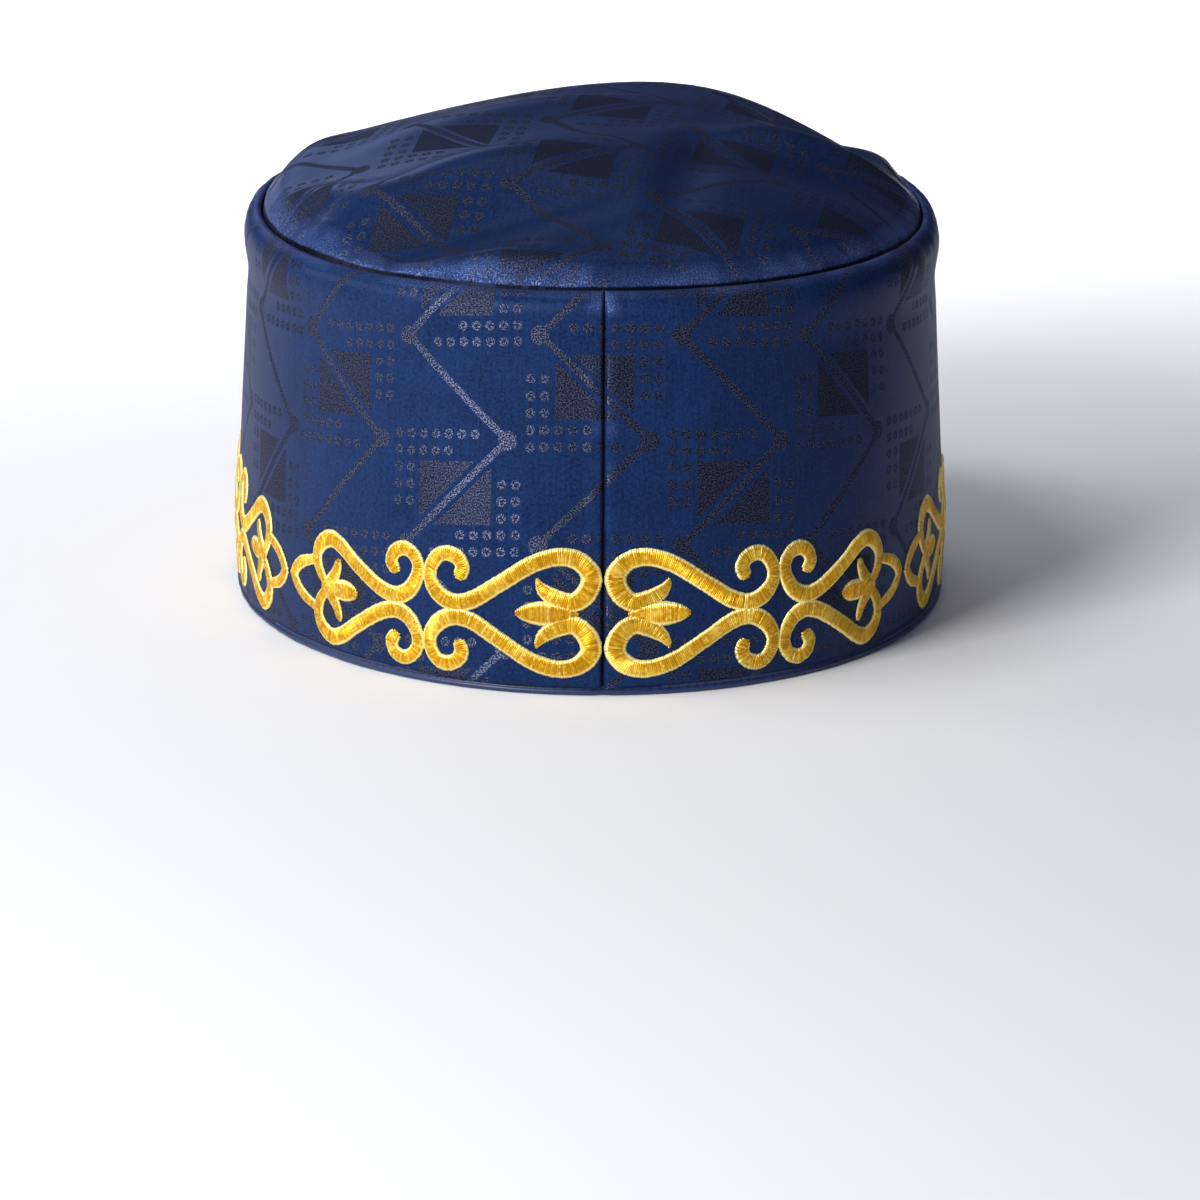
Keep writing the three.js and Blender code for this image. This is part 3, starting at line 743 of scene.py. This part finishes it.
def lay_strokes(strokes, chance):
    """Rows, faces, and numbers at the points, of all the padding and stitches of a unit."""
    rows, faces, across, tone = [], [], [], []
    total = 0
    for at, stroke in enumerate(strokes):
        lift = STROKE_LIFT * (at % LAYERS)
        ridge, ridge_faces = padding_along(stroke, lift)
        faces += [[total + corner for corner in face] for face in ridge_faces]
        total += len(ridge)
        laid, laid_across, laid_tone = stitches_along(stroke, chance, lift)
        for base in range(total, total + len(laid), len(stitch_shape)):
            faces += [[base + corner for corner in face] for face in stitch_faces]
        total += len(laid)
        rows += [ridge, laid]
        across += [np.full(len(ridge), PADDING_ACROSS), laid_across]
        tone += [np.full(len(ridge), PADDING_TONE), laid_tone]
    return np.vstack(rows), faces, {"across": np.concatenate(across), "tone": np.concatenate(tone)}


# %% The unit bent round the band
def embroider(name, halves, seed):
    """One unit of the border as a mesh of padding and stitches, on the band's own cloth."""
    strokes = [stroke for half in halves for stroke in strokes_of(*half)]
    rows, faces, numbers = lay_strokes(strokes, np.random.default_rng(seed))
    length, height, rise = rows.T
    angle = angle_at(length)
    x, y = oval(angle, height, wall_out(height) + give(angle, height) + rise)
    mesh = bpy.data.meshes.new(name)
    mesh.from_pydata((np.stack([x, y, height], axis=1) * MM).tolist(), [], faces)
    for label, values in numbers.items():
        keep_at_points(mesh, label, values)
    piece = bpy.data.objects.new(name, mesh)
    bpy.context.collection.objects.link(piece)
    bpy.ops.object.select_all(action="DESELECT")
    piece.select_set(True)
    bpy.context.view_layer.objects.active = piece
    bpy.ops.object.mode_set(mode="EDIT")
    bpy.ops.mesh.select_all(action="SELECT")
    bpy.ops.mesh.normals_make_consistent(inside=False)
    bpy.ops.object.mode_set(mode="OBJECT")
    return piece


# %% The seven units
PLACES = ("back", "side", "front")
unit_length = PLAIN_HEART_LENGTH + FLOWER_HEART_LENGTH
squeeze = (HALF_WAY - unit_length) / ((len(PLACES) - 1) * unit_length + FLOWER_HEART_LENGTH)
embroidery = []
start = 0
for at, where in enumerate(PLACES):
    scale = 1 if at == 0 else squeeze
    near, far = (PLAIN_HALF, FLOWER_HALF) if at % 2 == 0 else (FLOWER_HALF, PLAIN_HALF)
    meeting = start + scale * near[1]
    for side, hand in ((1, "right"), (-1, "left")):
        name = f"scroll_{where}_{hand}"
        halves = [(near, side * meeting, -side, scale), (far, side * meeting, side, scale)]
        piece = embroider(f"stitched_{name}", halves, seed=2 * at + (side > 0))
        finish_piece(piece, name)
        embroidery.append(piece)
    start += scale * unit_length
halves = [(FLOWER_HALF, HALF_WAY, heading, squeeze) for heading in (-1, 1)]
piece = embroider("stitched_scroll_front", halves, seed=2 * len(PLACES))
finish_piece(piece, "scroll_front")
embroidery.append(piece)
print(len(embroidery), "units,", sum(len(piece.data.vertices) for piece in embroidery), "vertices")

# %% [markdown]
# ## Materials
# Each material is a small network of nodes, which Blender works out at every point of a surface.
# It could be wired by hand in the shader editor, but in code each size and colour can be read.
# One function turns a picture's hex colour into the linear colour that Blender mixes in, and one
# function adds a node with its inputs and settings.

# %% Two helpers for materials
MATH = "ShaderNodeMath"
VECTOR = "ShaderNodeVectorMath"
RANGE = "ShaderNodeMapRange"
NOISE = "ShaderNodeTexNoise"
MIX = "ShaderNodeMix"
# Sockets for other kinds of value, which lie between a colour mix's share and its two colours
SKIPPED = (None,) * 5


def colour(code):
    """Linear colour of an sRGB hex value such as 1b3468."""
    shares = [int(code[at:at + 2], 16) / 255 for at in (0, 2, 4)]
    return [c / 12.92 if c <= 0.04045 else ((c + 0.055) / 1.055) ** 2.4 for c in shares] + [1]


def add(tree, kind, *inputs, **settings):
    """Adds a node. inputs fill its sockets in order, None leaves one alone, and the first output
    comes back. A setting that names a socket fills that socket."""
    node = tree.nodes.new(kind)
    sockets = {name: value for name, value in settings.items() if not hasattr(node, name)}
    for name, value in settings.items():
        if name not in sockets:
            setattr(node, name, value)
    filled = [*zip(node.inputs, inputs),
              *((node.inputs[name.replace("_", " ")], value) for name, value in sockets.items())]
    for socket, value in filled:
        if isinstance(value, bpy.types.NodeSocket):
            tree.links.new(value, socket)
        elif value is not None:
            socket.default_value = value
    return next((socket for socket in node.outputs if socket.enabled), None)


def start_material(name):
    """A new material without nodes, and its empty tree."""
    material = bpy.data.materials.new(name)
    material.use_nodes = True
    material.node_tree.nodes.clear()
    return material, material.node_tree


def finish_material(material, shader):
    """Links the shader to the material's output, and prints how many nodes lead there."""
    add(material.node_tree, "ShaderNodeOutputMaterial", shader)
    print(material.name, len(material.node_tree.nodes), "nodes")
    return material


print("navy of the cloth, linear:", [round(share, 3) for share in colour("1b3260")[:3]])

# %% [markdown]
# ### The woven pattern
# A jacquard loom draws its figure in the weave itself: where the figure is, the crosswise threads
# lie on top, and elsewhere the lengthwise ones do. Both are the same navy. The figure here is a
# row of upright zigzags with a round bulb at each corner, and on every second slope a solid
# square, cut in two by the zigzag and framed by rings of dots. A picture could be wrapped round
# the cap, but arithmetic on the cloth's own millimetres stays sharp however near one looks. Every
# second zigzag is the mirror image of its neighbour, half a repeat further up, so one cell is
# enough.

# %% Sizes of the figure
ZIGZAG_REACH = 13
ZIGZAG_REPEAT = 48.5
ZIGZAG_WIDTH = 1.7
BULB_WIDTH = 4.6
SQUARE_HALF = (9.2, 7.4)
SQUARE_GAP = 1.0
DOT_PITCH = (3.36, 3.9)
DOT_WIDTH = 2.3
DOT_HOLE = 0.7
FRAME_INNER = (10.2, 8.1)
FRAME_OUTER = (16.6, 15.4)
FRAME_CORNER = 0.58
print("one cell of the figure:", ZIGZAG_SPACING, "by", ZIGZAG_REPEAT, "mm")

# %% The cell that a place is in
def cell_at(group, u, v):
    """x and y from the middle of a place's own cell, and its way up before it is cut in cells."""
    count = add(group, MATH, u, ZIGZAG_SPACING, operation="DIVIDE")
    column = add(group, MATH, count, operation="ROUND")
    middle = add(group, MATH, column, ZIGZAG_SPACING, operation="MULTIPLY")
    beside = add(group, MATH, u, middle, operation="SUBTRACT")
    left_over = add(group, MATH, column, 2, operation="FLOORED_MODULO")
    odd = add(group, MATH, left_over, 0.5, operation="GREATER_THAN")
    mirror = add(group, MATH, odd, -2, 1, operation="MULTIPLY_ADD")
    x = add(group, MATH, beside, mirror, operation="MULTIPLY")
    moved = add(group, MATH, odd, ZIGZAG_REPEAT / 2, v, operation="MULTIPLY_ADD")
    y = add(group, MATH, moved, ZIGZAG_REPEAT / 2, -ZIGZAG_REPEAT / 2, operation="WRAP")
    return x, y, moved


# %% The zigzag, with a bulb at each corner
def zigzag_at(group, x, y, moved):
    """Whether a place is on the zigzag or a bulb, and how far it is from the zigzag's line."""
    past_corner = add(group, MATH, moved, ZIGZAG_REPEAT / 4, operation="ADD")
    slope = add(group, MATH, past_corner, ZIGZAG_REPEAT / 2, operation="PINGPONG")
    line_x = add(group, MATH, slope, -4 * ZIGZAG_REACH / ZIGZAG_REPEAT, ZIGZAG_REACH,
                 operation="MULTIPLY_ADD")
    gap = add(group, MATH, x, line_x, operation="SUBTRACT")
    lean = math.cos(math.atan2(2 * ZIGZAG_REACH, ZIGZAG_REPEAT / 2))
    square_gap = add(group, MATH, gap, lean, operation="MULTIPLY")
    off_line = add(group, MATH, square_gap, operation="ABSOLUTE")
    line = add(group, MATH, off_line, ZIGZAG_WIDTH / 2, operation="LESS_THAN")
    far_y = add(group, MATH, y, operation="ABSOLUTE")
    corner_y = add(group, MATH, far_y, -ZIGZAG_REPEAT / 4, operation="ADD")
    half = add(group, MATH, y, operation="SIGN")
    corner_x = add(group, MATH, half, ZIGZAG_REACH, x, operation="MULTIPLY_ADD")
    to_corner = add(group, "ShaderNodeCombineXYZ", corner_x, corner_y)
    corner_way = add(group, VECTOR, to_corner, operation="LENGTH")
    bulb = add(group, MATH, corner_way, BULB_WIDTH / 2, operation="LESS_THAN")
    return add(group, MATH, line, bulb, operation="MAXIMUM"), off_line


# %% The solid square
def square_at(group, x, y, off_line):
    """Whether a place is in the square, which stays clear of the zigzag that cuts it in two."""
    solid = add(group, MATH, off_line, ZIGZAG_WIDTH / 2 + SQUARE_GAP, operation="GREATER_THAN")
    for place, half in zip((x, y), SQUARE_HALF):
        far = add(group, MATH, place, operation="ABSOLUTE")
        inside = add(group, MATH, far, half, operation="LESS_THAN")
        solid = add(group, MATH, solid, inside, operation="MULTIPLY")
    return solid


# %% The frame of ring dots, in two opposite corners
def rings_at(group, x, y):
    """Whether a place is on a ring dot. A dot is in the frame if the dot's own middle is."""
    offsets, past, within, slants = [], [], [], []
    for place, pitch, inner, outer in zip((x, y), DOT_PITCH, FRAME_INNER, FRAME_OUTER):
        count = add(group, MATH, place, pitch, operation="DIVIDE")
        share = add(group, MATH, count, operation="FRACT")
        offset = add(group, MATH, share, pitch, -pitch / 2, operation="MULTIPLY_ADD")
        middle = add(group, MATH, place, offset, operation="SUBTRACT")
        far = add(group, MATH, middle, operation="ABSOLUTE")
        offsets.append(offset)
        past.append(add(group, MATH, far, inner, operation="GREATER_THAN"))
        within.append(add(group, MATH, far, outer, operation="LESS_THAN"))
        slants.append(add(group, MATH, middle, 1 / outer, operation="MULTIPLY"))
    to_middle = add(group, "ShaderNodeCombineXYZ", *offsets)
    from_dot = add(group, VECTOR, to_middle, operation="LENGTH")
    in_dot = add(group, MATH, from_dot, DOT_WIDTH / 2, operation="LESS_THAN")
    not_hole = add(group, MATH, from_dot, DOT_HOLE / 2, operation="GREATER_THAN")
    slant = add(group, MATH, add(group, MATH, *slants, operation="ADD"), operation="ABSOLUTE")
    cornered = add(group, MATH, slant, FRAME_CORNER, operation="GREATER_THAN")
    rings = add(group, MATH, *past, operation="MAXIMUM")
    for share in (in_dot, not_hole, *within, cornered):
        rings = add(group, MATH, rings, share, operation="MULTIPLY")
    return rings


# %% The figure as a group of nodes
def woven_figure():
    """Node group: cloth millimetres in, and whether a place is in the figure or a square out."""
    group = bpy.data.node_groups.new("woven_figure", "ShaderNodeTree")
    group.interface.new_socket("cloth", in_out="INPUT", socket_type="NodeSocketVector")
    for name in ("figure", "solid"):
        group.interface.new_socket(name, in_out="OUTPUT", socket_type="NodeSocketFloat")
    cloth = add(group, "NodeGroupInput")
    u, v = add(group, "ShaderNodeSeparateXYZ", cloth).node.outputs[:2]
    x, y, moved = cell_at(group, u, v)
    strokes, off_line = zigzag_at(group, x, y, moved)
    solid = square_at(group, x, y, off_line)
    figure = add(group, MATH, strokes, solid, operation="MAXIMUM")
    figure = add(group, MATH, figure, rings_at(group, x, y), operation="MAXIMUM")
    add(group, "NodeGroupOutput", figure, solid)
    return group


figure_group = woven_figure()
print("woven figure:", len(figure_group.nodes), "nodes")

# %% [markdown]
# ### Navy jacquard satin
# In polyester satin the threads float over each other, so it is smooth and dark, and its gloss
# runs in a streak across the threads. The figure's crosswise threads are grainy: silver where
# they face the light, and nearly black elsewhere. A colour alone would look like paper. Noise on
# the cloth map gives the grain, and Anisotropic in the shader gives the streak.

# %% Grain of the satin
# Yarns in such satin are about 0.1 mm apart, too fine to show in the picture. So the figure's
# speckle, the ground's grain and the lengthwise threads are drawn four to seven times as coarse.
SPECKLE = 0.36
GRAIN = 0.7
THREADS_PER_MM = (1.6, 0.12, 1)
BLOTCH = 16
GRAIN_SHARE = 2.4
BLOTCH_SHARE = 0.8
GROUND_TONES = (1.45, 2.75)


def satin_noise(tree, cloth_mm):
    """Speckle, grain, lengthwise threads and blotches, all in millimetres of cloth."""
    speckle = add(tree, NOISE, cloth_mm, Scale=1 / SPECKLE, Detail=1.0, Roughness=0.6)
    grain = add(tree, NOISE, cloth_mm, Scale=1 / GRAIN, Detail=2.0, Roughness=0.7)
    thread_map = add(tree, VECTOR, cloth_mm, THREADS_PER_MM, operation="MULTIPLY")
    threads = add(tree, NOISE, thread_map, Scale=1.0, Detail=2.0, Roughness=0.6)
    blotch = add(tree, NOISE, cloth_mm, Scale=1 / BLOTCH, Detail=3.0, Roughness=0.6)
    return speckle, grain, threads, blotch


def ground_colour(tree, grain, threads, blotch, unshaded_share):
    """Navy of the ground, with painted shade where the cloth faces up."""
    tone = add(tree, MATH, grain, GRAIN_SHARE, threads, operation="MULTIPLY_ADD")
    tone = add(tree, MATH, blotch, BLOTCH_SHARE, tone, operation="MULTIPLY_ADD")
    tone = add(tree, RANGE, tone, *GROUND_TONES)
    # Painted shade: a darker copy of the navy for cloth that faces up, and a lit copy for upright
    # cloth
    top_shaded_navy = add(tree, MIX, tone, *SKIPPED, colour("08122a"), colour("162a50"), data_type="RGBA")
    new = add(tree, MIX, tone, *SKIPPED, colour("09142b"), colour("1b3260"), data_type="RGBA")
    return add(tree, MIX, unshaded_share, *SKIPPED, top_shaded_navy, new, data_type="RGBA")


print("speckle of the figure:", SPECKLE, "mm, grain of the ground:", GRAIN, "mm")

# %% Grains of the figure, and painted glitter along the seam
# Two limits turn what is read into 0 at the first and 1 at the second. Where there are four, the
# last two say what it turns into instead. How much the cloth faces up is its Normal's z: 0 on an
# upright face and 1 on a level one.
GRAIN_LIMITS = (0.47, 0.58)
LOOSER_SQUARES = -0.5
ROLL_START = 1
ROLL_REACH = 5
LEANING_UP = (0.06, 0.3)
SPARKS = (0.5, 0.62, 0.15, 0.8)
GLITTER_PATCHES = (0.44, 0.56, 0.35, 1.0)


def figure_grains(tree, speckle, solid):
    """Grains of the figure. The squares are woven looser than the lines and dots, so have less."""
    grains = add(tree, RANGE, speckle, *GRAIN_LIMITS)
    looser = add(tree, MATH, solid, LOOSER_SQUARES, 1, operation="MULTIPLY_ADD")
    return add(tree, MATH, grains, looser, operation="MULTIPLY")


def seam_glitter(tree, from_seam, facing_up, speckle, blotch):
    """Painted highlight: glitter in sparks where the cloth rolls over beside the crown seam."""
    glitter = add(tree, RANGE, from_seam, ROLL_START, ROLL_REACH, 1.0, 0.0)
    for share, limits in ((facing_up, LEANING_UP), (speckle, SPARKS), (blotch, GLITTER_PATCHES)):
        here = add(tree, RANGE, share, *limits)
        glitter = add(tree, MATH, glitter, here, operation="MULTIPLY")
    return glitter


# Painted glitter, a painted highlight, reaches this far from the crown seam
print("worn threads glitter up to", ROLL_REACH, "mm from the crown seam")

# %% The satin itself
# Cloth that faces up, as on top of the crown, gets painted shade: its navy and the silver of its
# grains are darker there, and its grains less metallic. The figure's threads lean up the cap, so a
# high light finds them and the pale floor doesn't.
TOP_SHADE_SLOPES = (0.6, 0.92, 1.0, 0.12)
SEAM_LINE = (0.52, 0.68)
THREAD_LEAN = 0.26
GROUND_ROUGHNESS = 0.42
FIGURE_ROUGHER = 0.12
QUARTER_TURN = 0.25
THREAD_RELIEF = 0.15
GRAIN_RELIEF = 0.5
RELIEF_STRENGTH = 0.4
RELIEF_HEIGHT = 0.2


def jacquard_satin():
    """Polyester satin woven with a figure: a dark glossy ground and a grainy silver figure."""
    material, tree = start_material("navy_satin_jacquard")
    cloth_mm = add(tree, "ShaderNodeUVMap", uv_map="cloth_mm")
    woven = add(tree, "ShaderNodeGroup", cloth_mm, node_tree=figure_group)
    figure, solid = woven.node.outputs[:2]
    speckle, grain, threads, blotch = satin_noise(tree, cloth_mm)
    face = add(tree, "ShaderNodeNewGeometry").node.outputs["Normal"]
    facing_up = add(tree, "ShaderNodeSeparateXYZ", face).node.outputs[2]
    # Painted shade: this share is 1 on upright cloth and low where the cloth faces up
    unshaded_share = add(tree, RANGE, facing_up, *TOP_SHADE_SLOPES)
    ground = ground_colour(tree, grain, threads, blotch, unshaded_share)
    grains = figure_grains(tree, speckle, solid)
    # The figure's silver grains get the same painted shade where the cloth faces up
    silver = add(tree, MIX, unshaded_share, *SKIPPED, colour("1d2032"), colour("565e7a"), data_type="RGBA")
    raised = add(tree, MIX, grains, *SKIPPED, colour("0a0d1a"), silver, data_type="RGBA")
    cloth = add(tree, MIX, figure, *SKIPPED, ground, raised, data_type="RGBA")
    from_seam = add(tree, "ShaderNodeAttribute", attribute_name="from_seam").node.outputs["Fac"]
    glitter = seam_glitter(tree, from_seam, facing_up, speckle, blotch)
    # Painted highlight: the glitter turns the base colour pale blue beside the crown seam, and the
    # same share makes it metallic below
    cloth = add(tree, MIX, glitter, *SKIPPED, cloth, colour("6a80c4"), data_type="RGBA")
    # The line of a seam lies in its own shade
    open_cloth = add(tree, RANGE, from_seam, *SEAM_LINE)
    base = add(tree, MIX, open_cloth, *SKIPPED, colour("03060f"), cloth, data_type="RGBA")
    metal = add(tree, MATH, figure, grains, operation="MULTIPLY")
    metal = add(tree, MATH, metal, unshaded_share, operation="MULTIPLY")
    metal = add(tree, MATH, metal, glitter, operation="MAXIMUM")
    metal = add(tree, MATH, metal, open_cloth, operation="MULTIPLY")
    rough = add(tree, MATH, figure, FIGURE_ROUGHER, GROUND_ROUGHNESS, operation="MULTIPLY_ADD")
    turn = add(tree, MATH, figure, QUARTER_TURN, operation="MULTIPLY")
    height = add(tree, MATH, speckle, figure, operation="MULTIPLY")
    height = add(tree, MATH, threads, THREAD_RELIEF, height, operation="MULTIPLY_ADD")
    height = add(tree, MATH, grain, GRAIN_RELIEF, height, operation="MULTIPLY_ADD")
    lean = add(tree, MATH, figure, THREAD_LEAN, operation="MULTIPLY")
    leaning = add(tree, "ShaderNodeCombineXYZ", 0.0, 0.0, lean)
    leaning = add(tree, VECTOR, face, leaning, operation="ADD")
    leaning = add(tree, VECTOR, leaning, operation="NORMALIZE")
    bump = add(tree, "ShaderNodeBump", Strength=RELIEF_STRENGTH, Distance=RELIEF_HEIGHT * MM,
               Height=height, Normal=leaning)
    tangent = add(tree, "ShaderNodeTangent", direction_type="UV_MAP", uv_map="cloth_mm")
    return finish_material(material, add(
        tree, "ShaderNodeBsdfPrincipled", Base_Color=base, Metallic=metal, Roughness=rough,
        IOR=1.5, Normal=bump, Anisotropic=0.7, Anisotropic_Rotation=turn, Tangent=tangent,
        Sheen_Weight=0.012, Sheen_Roughness=0.4, Sheen_Tint=colour("8f9ce8"),
        Specular_Tint=colour("8fa6e8"), Specular_IOR_Level=0.22))


satin = jacquard_satin()

# %% [markdown]
# ### Sewn hem satin
# The hem is the same satin turned in, where no figure shows, and it is sewn by machine. Each stitch
# sinks a little just above the fold, and its shade is painted as a short dark nip. Such a row could
# be modelled stitch by stitch, but it is half a millimetre wide and sunk in the cloth, so a pattern
# on the cloth map does.

# %% Satin of the hem
HEM_STITCH = 2.2
HEM_NIP_ENDS = (0.1, 0.25)
HEM_NIP_SHADE = 0.85
HEM_ROW = 1.62
HEM_ROW_WIDTH = 0.5
HEM_THREADS_PER_MM = (1.4, 0.3, 1)
HEM_RELIEF_STRENGTH = 0.5


def sewn_satin():
    """Satin without a figure, a little glossy, with a row of stitches in painted shade."""
    material, tree = start_material("navy_hem_satin")
    cloth_mm = add(tree, "ShaderNodeUVMap", uv_map="cloth_mm")
    thread_map = add(tree, VECTOR, cloth_mm, HEM_THREADS_PER_MM, operation="MULTIPLY")
    threads = add(tree, NOISE, thread_map, Scale=1.0, Detail=2.0, Roughness=0.6)
    base = add(tree, MIX, threads, *SKIPPED, colour("0c1a3a"), colour("1b3366"),
               data_type="RGBA")
    along, up = add(tree, "ShaderNodeSeparateXYZ", cloth_mm).node.outputs[:2]
    step = add(tree, MATH, along, HEM_STITCH / 2, operation="PINGPONG")
    nip = add(tree, RANGE, step, *(HEM_STITCH * end for end in HEM_NIP_ENDS), 1.0, 0.0)
    off_row = add(tree, MATH, up, HEM_ROW, operation="SUBTRACT")
    off_row = add(tree, MATH, off_row, operation="ABSOLUTE")
    on_row = add(tree, MATH, off_row, HEM_ROW_WIDTH / 2, operation="LESS_THAN")
    for share in (on_row, HEM_NIP_SHADE):
        nip = add(tree, MATH, nip, share, operation="MULTIPLY")
    # Painted shade: each stitch's nip is a near-black colour on the row above the fold
    base = add(tree, MIX, nip, *SKIPPED, base, colour("040814"), data_type="RGBA")
    bump = add(tree, "ShaderNodeBump", Strength=HEM_RELIEF_STRENGTH,
               Distance=RELIEF_HEIGHT * MM, Height=threads)
    return finish_material(material, add(
        tree, "ShaderNodeBsdfPrincipled", Base_Color=base, Roughness=GROUND_ROUGHNESS, IOR=1.5,
        Normal=bump, Sheen_Weight=0.03, Sheen_Tint=colour("8fb0ff")))


hem_satin = sewn_satin()

# %% [markdown]
# ### Gold embroidery thread
# Rayon thread is spun from glossy filaments, so it shines along its length like fine wire, with
# deep amber in the gaps. Where it bends down into the cloth its ends get a painted highlight, a
# pale colour. One gold for all would look cast. Each stitch carries a tone of its own and how far
# along it a place is, and noise read at those two numbers paints every thread its own glints:
# painted highlights and deeper painted shade. Larger pale patches over the strokes are painted
# highlights too.

# %% Rayon thread
# The size of the pale patches of painted highlight is in millimetres. THREADS_APART sets threads
# far apart in the noise, so that neighbours differ, and GLINTS is how many painted glints lie
# between a thread's middle and its end.
HIGHLIGHT_PATCH = 7
THREADS_APART = 900
GLINTS = 1.5
HIGHLIGHT_PATCH_LIMITS = (0.52, 0.68, 0.0, 0.6)
DEEP_LIMITS = (0.32, 0.5, 0.6, 0.0)
BRIGHT_LIMITS = (0.54, 0.72, 0.0, 0.7)
END_HIGHLIGHT_LIMITS = (0.62, 0.8)


def gold_thread():
    """Rayon embroidery thread: glossy, amber in the gaps, painted highlights at ends and in glints.
    """
    material, tree = start_material("gold_rayon_thread")
    across, tone = (add(tree, "ShaderNodeAttribute", attribute_name=name).node.outputs["Fac"]
                    for name in ("across", "tone"))
    place = add(tree, "ShaderNodeTexCoord").node.outputs["Object"]
    highlight_patches = add(tree, NOISE, place, Scale=1 / (HIGHLIGHT_PATCH * MM), Detail=2.0, Roughness=0.6)
    own = add(tree, MATH, tone, THREADS_APART, operation="MULTIPLY")
    along = add(tree, MATH, across, GLINTS, operation="MULTIPLY")
    thread_place = add(tree, "ShaderNodeCombineXYZ", own, along)
    glints = add(tree, NOISE, thread_place, Scale=1.0, Detail=1.0, Roughness=0.6)
    thread = add(tree, MIX, tone, *SKIPPED, colour("bf8604"), colour("deaa1e"), data_type="RGBA")
    # Painted light in the thread's colour: pale patches, bright glints and pale ends are painted
    # highlights, and deep glints are painted shade
    for value, limits, code in ((highlight_patches, HIGHLIGHT_PATCH_LIMITS, "f6d65a"), (glints, DEEP_LIMITS, "a86c04"),
                                (glints, BRIGHT_LIMITS, "ffe070"), (across, END_HIGHLIGHT_LIMITS, "ffea94")):
        share = add(tree, RANGE, value, *limits)
        thread = add(tree, MIX, share, *SKIPPED, thread, colour(code), data_type="RGBA")
    # The padding under the stitches has a tone below 0
    padding = add(tree, MATH, tone, PADDING_TONE / 2, operation="LESS_THAN")
    base = add(tree, MIX, padding, *SKIPPED, thread, colour("b97a0c"), data_type="RGBA")
    return finish_material(material, add(
        tree, "ShaderNodeBsdfPrincipled", Base_Color=base, Metallic=0.4, Roughness=0.28, IOR=1.5,
        Specular_Tint=colour("ffe28a"), Sheen_Weight=0.04, Sheen_Tint=colour("fff0b8")))


gold = gold_thread()

# %% [markdown]
# ### Each finish on its piece
# The band and the crown are one cloth, inside and out, so each has one material. A second one could
# line them, but nothing of the inside shows, and a kufi like this often has no lining.

# %% Put the materials on
finishes = [(band_cloth, satin), (crown_cloth, satin), (hem_fold, hem_satin),
            *((piece, gold) for piece in embroidery)]
for piece, material in finishes:
    piece.data.materials.clear()
    piece.data.materials.append(material)
print(len(finishes), "pieces have their materials")

# %% [markdown]
# ## Floor and light
# The cap rests on a plain pale floor in a studio's soft light. Satin shows its form by its gloss,
# so each light has its own task. The key, to the left of the camera, gives the sheen and the
# silver figure on the left. The side light catches the left shoulder and the fill keeps the right
# side readable. The rim light, low on the far side, picks out the crown's folds, and the top light
# its left slope. The last light points straight down beyond the cap, and whitens the floor.

# %% The floor
FLOOR_SIZE = 8

bpy.ops.object.select_all(action="DESELECT")
bpy.ops.mesh.primitive_plane_add(size=FLOOR_SIZE)
floor = bpy.context.object
floor.name = "floor"
floor_material, floor_tree = start_material("pale_floor")
floor.data.materials.append(finish_material(floor_material, add(
    floor_tree, "ShaderNodeBsdfPrincipled", Base_Color=colour("f4f4f4"), Roughness=0.9)))

# %% The lights
# Turn and rise in degrees from the cap, with turn 0 behind it where the camera is. Distance and
# size in metres, power in watts.
LIGHTS = [
    ("key", -40, 22, 1.3, 0.5, 18, "ffffff"),
    ("side", -98, 20, 1.4, 0.4, 3.4, "ffffff"),
    ("fill", 55, 15, 1.6, 1.0, 1.5, "ffffff"),
    ("rim", -164, 21, 1.4, 0.5, 1.3, "b4c8ff"),
    ("top", -70, 62, 1.2, 0.4, 4, "ffffff"),
    ("backdrop", 180, 50, 1.5, 1.2, 7, "ffffff"),
]
BACKDROP_SPREAD = math.radians(60)
WORLD_STRENGTH = 0.1

for name, turn_degrees, rise_degrees, distance, size, power, tint in LIGHTS:
    turn, rise = math.radians(turn_degrees), math.radians(rise_degrees)
    away = Vector((math.sin(turn) * math.cos(rise), -math.cos(turn) * math.cos(rise),
                   math.sin(rise)))
    light = bpy.data.objects.new(name, bpy.data.lights.new(name, "AREA"))
    bpy.context.collection.objects.link(light)
    light.data.shape = "SQUARE"
    light.data.size = size
    light.data.energy = power
    light.data.color = colour(tint)[:3]
    light.location = away * distance + Vector((0, 0, KNOWN_HEIGHT * MM))
    light.rotation_euler = away.to_track_quat("Z", "Y").to_euler()
# The backdrop light is the last one made
light.rotation_euler = (0, 0, 0)
light.data.spread = BACKDROP_SPREAD
world = bpy.data.worlds.new("studio")
bpy.context.scene.world = world
world.use_nodes = True
background = world.node_tree.nodes["Background"]
background.inputs["Color"].default_value = colour("b4c4ff")
background.inputs["Strength"].default_value = WORLD_STRENGTH
bpy.context.scene.view_settings.view_transform = "Standard"
print(len(LIGHTS), "lights round the cap")
